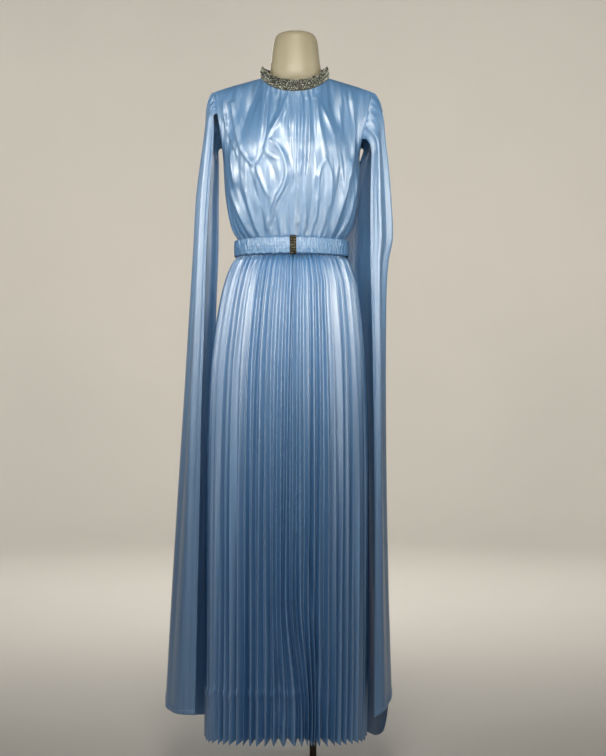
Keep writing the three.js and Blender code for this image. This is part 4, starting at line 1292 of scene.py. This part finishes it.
class DRESS_OT_belt(bpy.types.Operator):
    """Makes the shirred elastic belt, open under the clasp"""

    bl_idname = "dress.belt"
    bl_label = "Belt"

    def execute(self, context):
        trim, cloth = context.scene.dress_trim, context.scene.dress_cloth
        gap = [math.asin((CLASP_X - BELT_X + way * (CLASP_WIDTH / 2 - 0.002)) / BELT_HALF) for way in (1, -1)]
        columns, rows = 760, 22
        angle, up = np.meshgrid(np.linspace(gap[0], 2 * math.pi + gap[1], columns), np.linspace(0, 1, rows))
        front = np.cos(angle) > 0
        depth = np.where(front, BELT_FRONT, BELT_BACK)
        crown = 0.0010 * np.sin(np.pi * up)
        wobble = 0.0006 * np.sin(37 * angle + 1.1 * np.sin(11 * angle))
        z = BELT_LOW + (BELT_HIGH - BELT_LOW) * up + wobble * (2 * up - 1)
        points = places(BELT_X + (BELT_HALF + crown) * np.sin(angle), -(depth + crown) * np.cos(angle), z)
        outward = unit(places(np.sin(angle), -np.cos(angle), 0 * angle))
        mesh = grid_mesh("belt", points, (0.74, BELT_HIGH - BELT_LOW))
        attributes = {
            "place": places(0.118 * angle, up * 0.036, up).reshape(-1, 3),
            "outward": outward.reshape(-1, 3),
        }
        colour = tinted(cloth.satin, 0.9)
        finish = satin("shirred satin", colour, 0.0003, gloss=0.58, index=1.6, streak=(240, 40, 1))
        piece = folded(
            "belt_cloth", mesh, shirring_tree(), attributes,
            Gathers_per_metre=330.0, Height=trim.shirring * 2.2, Elastic_rows=5.0,
            Seed=float(trim.seed), Material=finish,
        )
        shade_smooth(piece.data)
        solidify(piece, BELT_WALL)
        applied(piece)
        declare(piece, "shirred_satin", "belt")
        return {"FINISHED"}


class DRESS_OT_clasp(bpy.types.Operator):
    """Makes the clasp, a bar set with stones"""

    bl_idname = "dress.clasp"
    bl_label = "Clasp"

    def execute(self, context):
        trim = context.scene.dress_trim
        low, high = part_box("clasp")
        centre, size = (low + high) / 2, high - low
        bronze = metal("clasp bronze", (0.004, 0.0035, 0.002), 0.40, (0.030, 0.024, 0.012), 160)
        mesh = bpy.data.meshes.new("clasp_bar")
        inner = Vector((size.x / 2, size.y * 0.36, size.z / 2))
        corners = [(x * inner.x, y * inner.y, z * inner.z) for x in (-1, 1) for y in (-1, 1) for z in (-1, 1)]
        faces = [(0, 1, 3, 2), (4, 6, 7, 5), (0, 4, 5, 1), (2, 3, 7, 6), (0, 2, 6, 4), (1, 5, 7, 3)]
        middle = Vector((centre.x, centre.y + size.y * 0.10, centre.z))
        mesh.from_pydata([tuple(Vector(c) + middle) for c in corners], [], faces)
        mesh.materials.append(bronze)
        bar = bevelled(new_piece("clasp_bar", mesh), 0.0014, 4)
        shade_smooth(bar.data)
        declare(bar, "clasp", "clasp")
        # painted glints: the light colours of these stones and beads stand in for the clasp's sparkle; their
        # dark colours are their own
        dark = beads_with_painted_glints("dark stones", (0.002, 0.002, 0.002), (0.12, 0.12, 0.09), 0.3, 0.08, 180)
        gold = beads_with_painted_glints("gold beads", (0.002, 0.002, 0.0015), (0.13, 0.14, 0.11), 0.7, 0.35, 240)
        # Kind, places across the bar, rows up it, width, length and height, and finish.
        groups = {
            "clasp_stones": ("stone", (-0.0034, 0.0034), 7, (0.0056, 0.0056, 0.0042), dark),
            "clasp_beads": ("bead", (-0.0068, 0.0, 0.0068), 13, (0.0019, 0.0019, 0.0019), gold),
        }
        reach = size.z / 2 - 0.0034
        for name, (kind, columns, rows, (width, length, height), finish) in groups.items():
            z = np.linspace(-reach, reach, rows)
            seats = [(centre.x + x, low.y + 0.0012, centre.z + dz) for x in columns for dz in z]
            many = len(seats)
            piece = scattered(
                name, kind, seats, [(0, -1, 0)] * many, [(0, 0, 1)] * many, finish, kind == "bead",
                Width=width, Length=length, Height=height, Unevenness=0.14, Seed=trim.seed + 2,
            )
            declare(piece, "clasp")
        return {"FINISHED"}


# ---------------------------------------------------------------- the other operators
class DRESS_OT_bodice(bpy.types.Operator):
    """Makes the gathered front and back panels of the bodice"""

    bl_idname = "dress.bodice"
    bl_label = "Bodice"

    def execute(self, context):
        cloth, settings = context.scene.dress_cloth, context.scene.dress_bodice
        finish = satin("bodice satin", cloth.satin, cloth.crinkle, gloss=0.45)
        for side in (1, -1):
            bodice_panel(side, cloth, settings, finish)
        return {"FINISHED"}


class DRESS_OT_skirt(bpy.types.Operator):
    """Makes the pleated front and back panels of the skirt"""

    bl_idname = "dress.skirt"
    bl_label = "Skirt"

    def execute(self, context):
        cloth, settings = context.scene.dress_cloth, context.scene.dress_skirt
        # painted shade: the satin's colour is multiplied by the pleats' painted shade
        colour = [part * factor for part, factor in zip(cloth.satin, PAINTED_PLEAT_SHADE)]
        finish = satin("pleated satin", colour, cloth.crinkle * 0.5, gloss=0.42, index=2.2, streak=(90, 3, 1))
        for side in (1, -1):
            skirt_panel(side, cloth, settings, finish)
        return {"FINISHED"}


class DRESS_OT_sleeves(bpy.types.Operator):
    """Makes the two cape sleeves with their stitched hems"""

    bl_idname = "dress.sleeves"
    bl_label = "Cape sleeves"

    def execute(self, context):
        cloth, settings = context.scene.dress_cloth, context.scene.dress_sleeve
        crinkle = cloth.crinkle * 1.2
        finish = satin("sleeve satin", cloth.satin, crinkle, gloss=0.47, index=2.0, streak=(50, 4, 1))
        thread = matt_cloth("thread", cloth.thread)
        sleeves = (
            (-1, RIGHT_SLEEVE, RIGHT_HEM, RIGHT_SLEEVE_FOLDS),
            (1, LEFT_SLEEVE, LEFT_HEM, LEFT_SLEEVE_FOLDS),
        )
        for side, table, hems, folds in sleeves:
            sleeve_panel(side, table, hems, folds, cloth, settings, finish, thread)
        return {"FINISHED"}


def turned(name, x, finish, *profile):
    """A round piece about an upright axis, from the radii and heights of its profile."""
    segments = 72
    around = np.linspace(0, 2 * np.pi, segments, endpoint=False)
    rows = [[(x + r * math.cos(a), r * math.sin(a), z) for a in around] for r, z in profile]
    last = len(profile) - 1
    points = [p for row in rows for p in row]
    faces = []
    for j in range(last):
        for i in range(segments):
            a, b = j * segments + i, j * segments + (i + 1) % segments
            faces.append((a, b, b + segments, a + segments))
    faces.append(tuple(reversed(range(segments))))
    faces.append(tuple(last * segments + i for i in range(segments)))
    mesh = bpy.data.meshes.new(name)
    mesh.from_pydata(points, [], faces)
    mesh.materials.append(finish)
    piece = bevelled(new_piece(name, mesh), 0.0008, 3)
    level = 0.999
    curved = [abs(face.normal.z) < level for face in piece.data.polygons]
    piece.data.polygons.foreach_set("use_smooth", curved)
    return piece


class DRESS_OT_form(bpy.types.Operator):
    """Makes the dress form and its stand"""

    bl_idname = "dress.form"
    bl_label = "Form and stand"

    def execute(self, context):
        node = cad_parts["form"]
        shell = new_piece("form_shell", node.data.copy())
        shell.data.materials.clear()
        # painted shade: the cream is darkened to about half, for the dim light that falls on the form
        shell.data.materials.append(lacquer("cream shell with painted shade", (0.27, 0.24, 0.165)))
        weld = shell.modifiers.new("join", "WELD")
        weld.merge_threshold = 0.0002
        round_off = shell.modifiers.new("round", "SUBSURF")
        round_off.levels = round_off.render_levels = 2
        applied(shell)
        shade_smooth(shell.data)
        declare(shell, "form_shell", "form")
        steel = metal("stand bronze", (0.055, 0.042, 0.032), 0.34, (0.16, 0.12, 0.09), 40)
        low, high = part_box("plate")
        x, radius = (low.x + high.x) / 2, (high.x - low.x) / 2
        plate = turned(
            "stand_plate", x, steel, (radius, low.z), (radius, high.z - 0.002),
            (radius - 0.002, high.z), (0.030, high.z), (0.012, high.z + 0.0002),
        )
        declare(plate, "stand_steel", "plate")
        low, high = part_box("pole")
        radius = (high.x - low.x) / 2
        pole = turned("stand_pole", x, steel, (radius, low.z), (radius, high.z))
        declare(pole, "stand_steel", "pole")
        low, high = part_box("pole_socket")
        wide, thin = (high.x - low.x) / 2, (high.x - low.x) / 2 - 0.005
        socket = turned(
            "stand_socket", x, steel,
            (thin, low.z), (thin, low.z + 0.010), (wide, high.z - 0.006), (wide, high.z),
        )
        declare(socket, "stand_steel", "pole_socket")
        return {"FINISHED"}


# ---------------------------------------------------------------- stage
def area_light(name, place, target, size, power, colour):
    """A soft rectangular light."""
    data = bpy.data.lights.new(name, "AREA")
    data.shape = "RECTANGLE"
    data.size, data.size_y = size
    data.energy = power
    data.color = colour
    return aimed(new_piece(name, data), place, target)


def spot_light(name, place, target, cone, radius, power, colour):
    """A round soft light with a cone in degrees that fades to its rim."""
    data = bpy.data.lights.new(name, "SPOT")
    data.spot_size, data.spot_blend = math.radians(cone), 1.0
    data.shadow_soft_size = radius
    data.energy = power
    data.color = colour
    return aimed(new_piece(name, data), place, target)


def aimed(light, place, target):
    """Puts a light in its place, turned to its target, and hides the lamp itself from the camera."""
    light.location = place
    light.rotation_euler = (Vector(target) - Vector(place)).to_track_quat("-Z", "Y").to_euler()
    light.visible_camera = False
    return light


class DRESS_OT_stage(bpy.types.Operator):
    """Makes the room, the lights and the camera"""

    bl_idname = "dress.stage"
    bl_label = "Room, lights and camera"

    def execute(self, context):
        stage, scene = context.scene.dress_stage, context.scene
        room_profile = [(0.001, 0.0), (stage.room_radius, 0.0)]
        bend, wall_height = 1.6, 4.4
        room_profile += [
            (stage.room_radius + bend * math.sin(a), bend * (1 - math.cos(a)))
            for a in np.linspace(0, math.pi / 2, 17)[1:]
        ]
        room_profile.append((stage.room_radius + bend, wall_height))
        around = np.linspace(0, 2 * np.pi, 96, endpoint=False)
        under = 0.0003  # the floor lies this far below the part's foot
        points = np.array([
            [(r * math.sin(a), -r * math.cos(a), z - under) for a in around] for r, z in room_profile
        ])
        room = new_piece("room", grid_mesh("room", points, (30, 10), -1, ring=True))
        room.data.materials.append(plaster("room paint", stage.wall))

        world = bpy.data.worlds.new("studio")
        scene.world = world
        world.use_nodes = True
        sky = world.node_tree.nodes["Background"]
        sky.inputs["Color"].default_value = (1.0, 0.97, 0.93, 1)
        sky.inputs["Strength"].default_value = 0.04
        scene.view_settings.view_transform = "Standard"

        warm, cool, wash = (1.0, 0.95, 0.84), (0.84, 0.95, 1.0), (1.0, 0.975, 0.905)
        spot_light("key", (0.15, -3.0, 1.98), (0.0, 0, 1.36), 56, 0.40, 28, warm)
        bodice_keys = (("right", -0.9, 29, 140), ("centre", 0.0, 27, 98), ("left", 0.9, 24, 134))
        for side, x, cone, power in bodice_keys:
            spot_light(f"bodice_key_{side}", (x, -3.0, 1.92), (0.0, 0, 1.44), cone, 0.40, power, warm)
        spot_light("right_side_key", (-2.7, -1.3, 1.75), (0.0, 0, 1.36), 24, 0.35, 130, warm)
        spot_light("left_side_key", (2.7, -1.3, 1.75), (0.0, 0, 1.44), 22, 0.35, 115, warm)
        spot_light("waist_key", (0.0, -1.25, 0.15), (0.0, 0, 1.26), 15, 0.30, 60, warm)
        spot_light("waist_key_left", (1.1, -1.2, 0.35), (0.07, -0.09, 1.27), 12, 0.30, 120, warm)
        spot_light("waist_key_right", (-1.1, -1.2, 0.35), (-0.07, -0.09, 1.27), 12, 0.30, 40, warm)
        spot_light("skirt_key", (0.0, -2.6, 2.9), (0.0, 0, 1.06), 12, 0.30, 150, warm)
        spot_light("overhead", (0.0, -1.7, 3.4), (0.0, 0, 1.00), 52, 0.35, 104, (1.0, 0.96, 0.87))
        spot_light("skirt_fill", (0.0, -3.2, 0.60), (0.0, 0, 0.46), 36, 0.50, 20, (0.12, 0.56, 1.0))
        area_light("right_strip", (-1.1, -2.8, 0.95), (0, 0, 0.95), (0.10, 1.4), 5.0, cool)
        area_light("left_strip", (1.1, -2.8, 0.95), (0, 0, 0.95), (0.10, 1.4), 0.5, cool)
        area_light("left_fill", (-3.0, -1.2, 1.8), (0, 0, 1.2), (0.5, 1.6), 9, cool)
        area_light("right_fill", (3.0, -1.0, 1.8), (0, 0, 1.2), (0.5, 1.6), 7, cool)
        area_light("wall_wash", (0.0, 1.5, 3.2), (0, 6, 1.3), (5.0, 0.6), 148, wash)
        area_light("back_fill", (0.0, 3.2, 2.6), (0, 0, 1.2), (2.0, 1.2), 22, (1.0, 0.98, 0.95))
        spot_light("back_key", (-0.6, 3.2, 2.3), (0.0, 0, 1.05), 36, 0.50, 130, warm)
        spot_light("back_key_right", (0.9, 3.2, 2.0), (0.0, 0, 1.10), 36, 0.50, 60, cool)
        area_light("rear_wall_wash", (0.0, -3.3, 3.3), (0, -6, 1.3), (5.0, 0.6), 34, wash)

        data = bpy.data.cameras.new("camera")
        data.lens = stage.lens
        data.sensor_width = 36
        camera = new_piece("camera", data)
        camera.location = (0.023, -stage.distance, 0.916)
        camera.rotation_euler = (math.pi / 2, 0, 0)
        scene.camera = camera
        return {"FINISHED"}


class DRESS_PT_panel(bpy.types.Panel):
    """Lists the dress's sizes and the steps that build it"""

    bl_idname = "DRESS_PT_panel"
    bl_label = "Dress"
    bl_space_type = "VIEW_3D"
    bl_region_type = "UI"
    bl_category = "Dress"

    def draw(self, context):
        for name in SETTINGS:
            settings = getattr(context.scene, name)
            for key in settings.__annotations__:
                self.layout.prop(settings, key)
        for operator in OPERATORS:
            self.layout.operator(operator.bl_idname)


SETTINGS = {
    "dress_cloth": DressCloth,
    "dress_bodice": DressBodice,
    "dress_skirt": DressSkirt,
    "dress_sleeve": DressSleeve,
    "dress_trim": DressTrim,
    "dress_stage": DressStage,
}
OPERATORS = (
    DRESS_OT_stage,
    DRESS_OT_form,
    DRESS_OT_bodice,
    DRESS_OT_skirt,
    DRESS_OT_sleeves,
    DRESS_OT_neckband,
    DRESS_OT_belt,
    DRESS_OT_clasp,
)
CLASSES = (*SETTINGS.values(), *OPERATORS, DRESS_PT_panel)


def register():
    for each in CLASSES:
        bpy.utils.register_class(each)
    for name, group in SETTINGS.items():
        setattr(bpy.types.Scene, name, PointerProperty(type=group))


def unregister():
    for name in SETTINGS:
        delattr(bpy.types.Scene, name)
    for each in reversed(CLASSES):
        bpy.utils.unregister_class(each)


def main():
    """Builds every piece."""
    register()
    for operator in OPERATORS:
        group, name = operator.bl_idname.split(".")
        getattr(getattr(bpy.ops, group), name)()


if __name__ == "__main__":
    main()
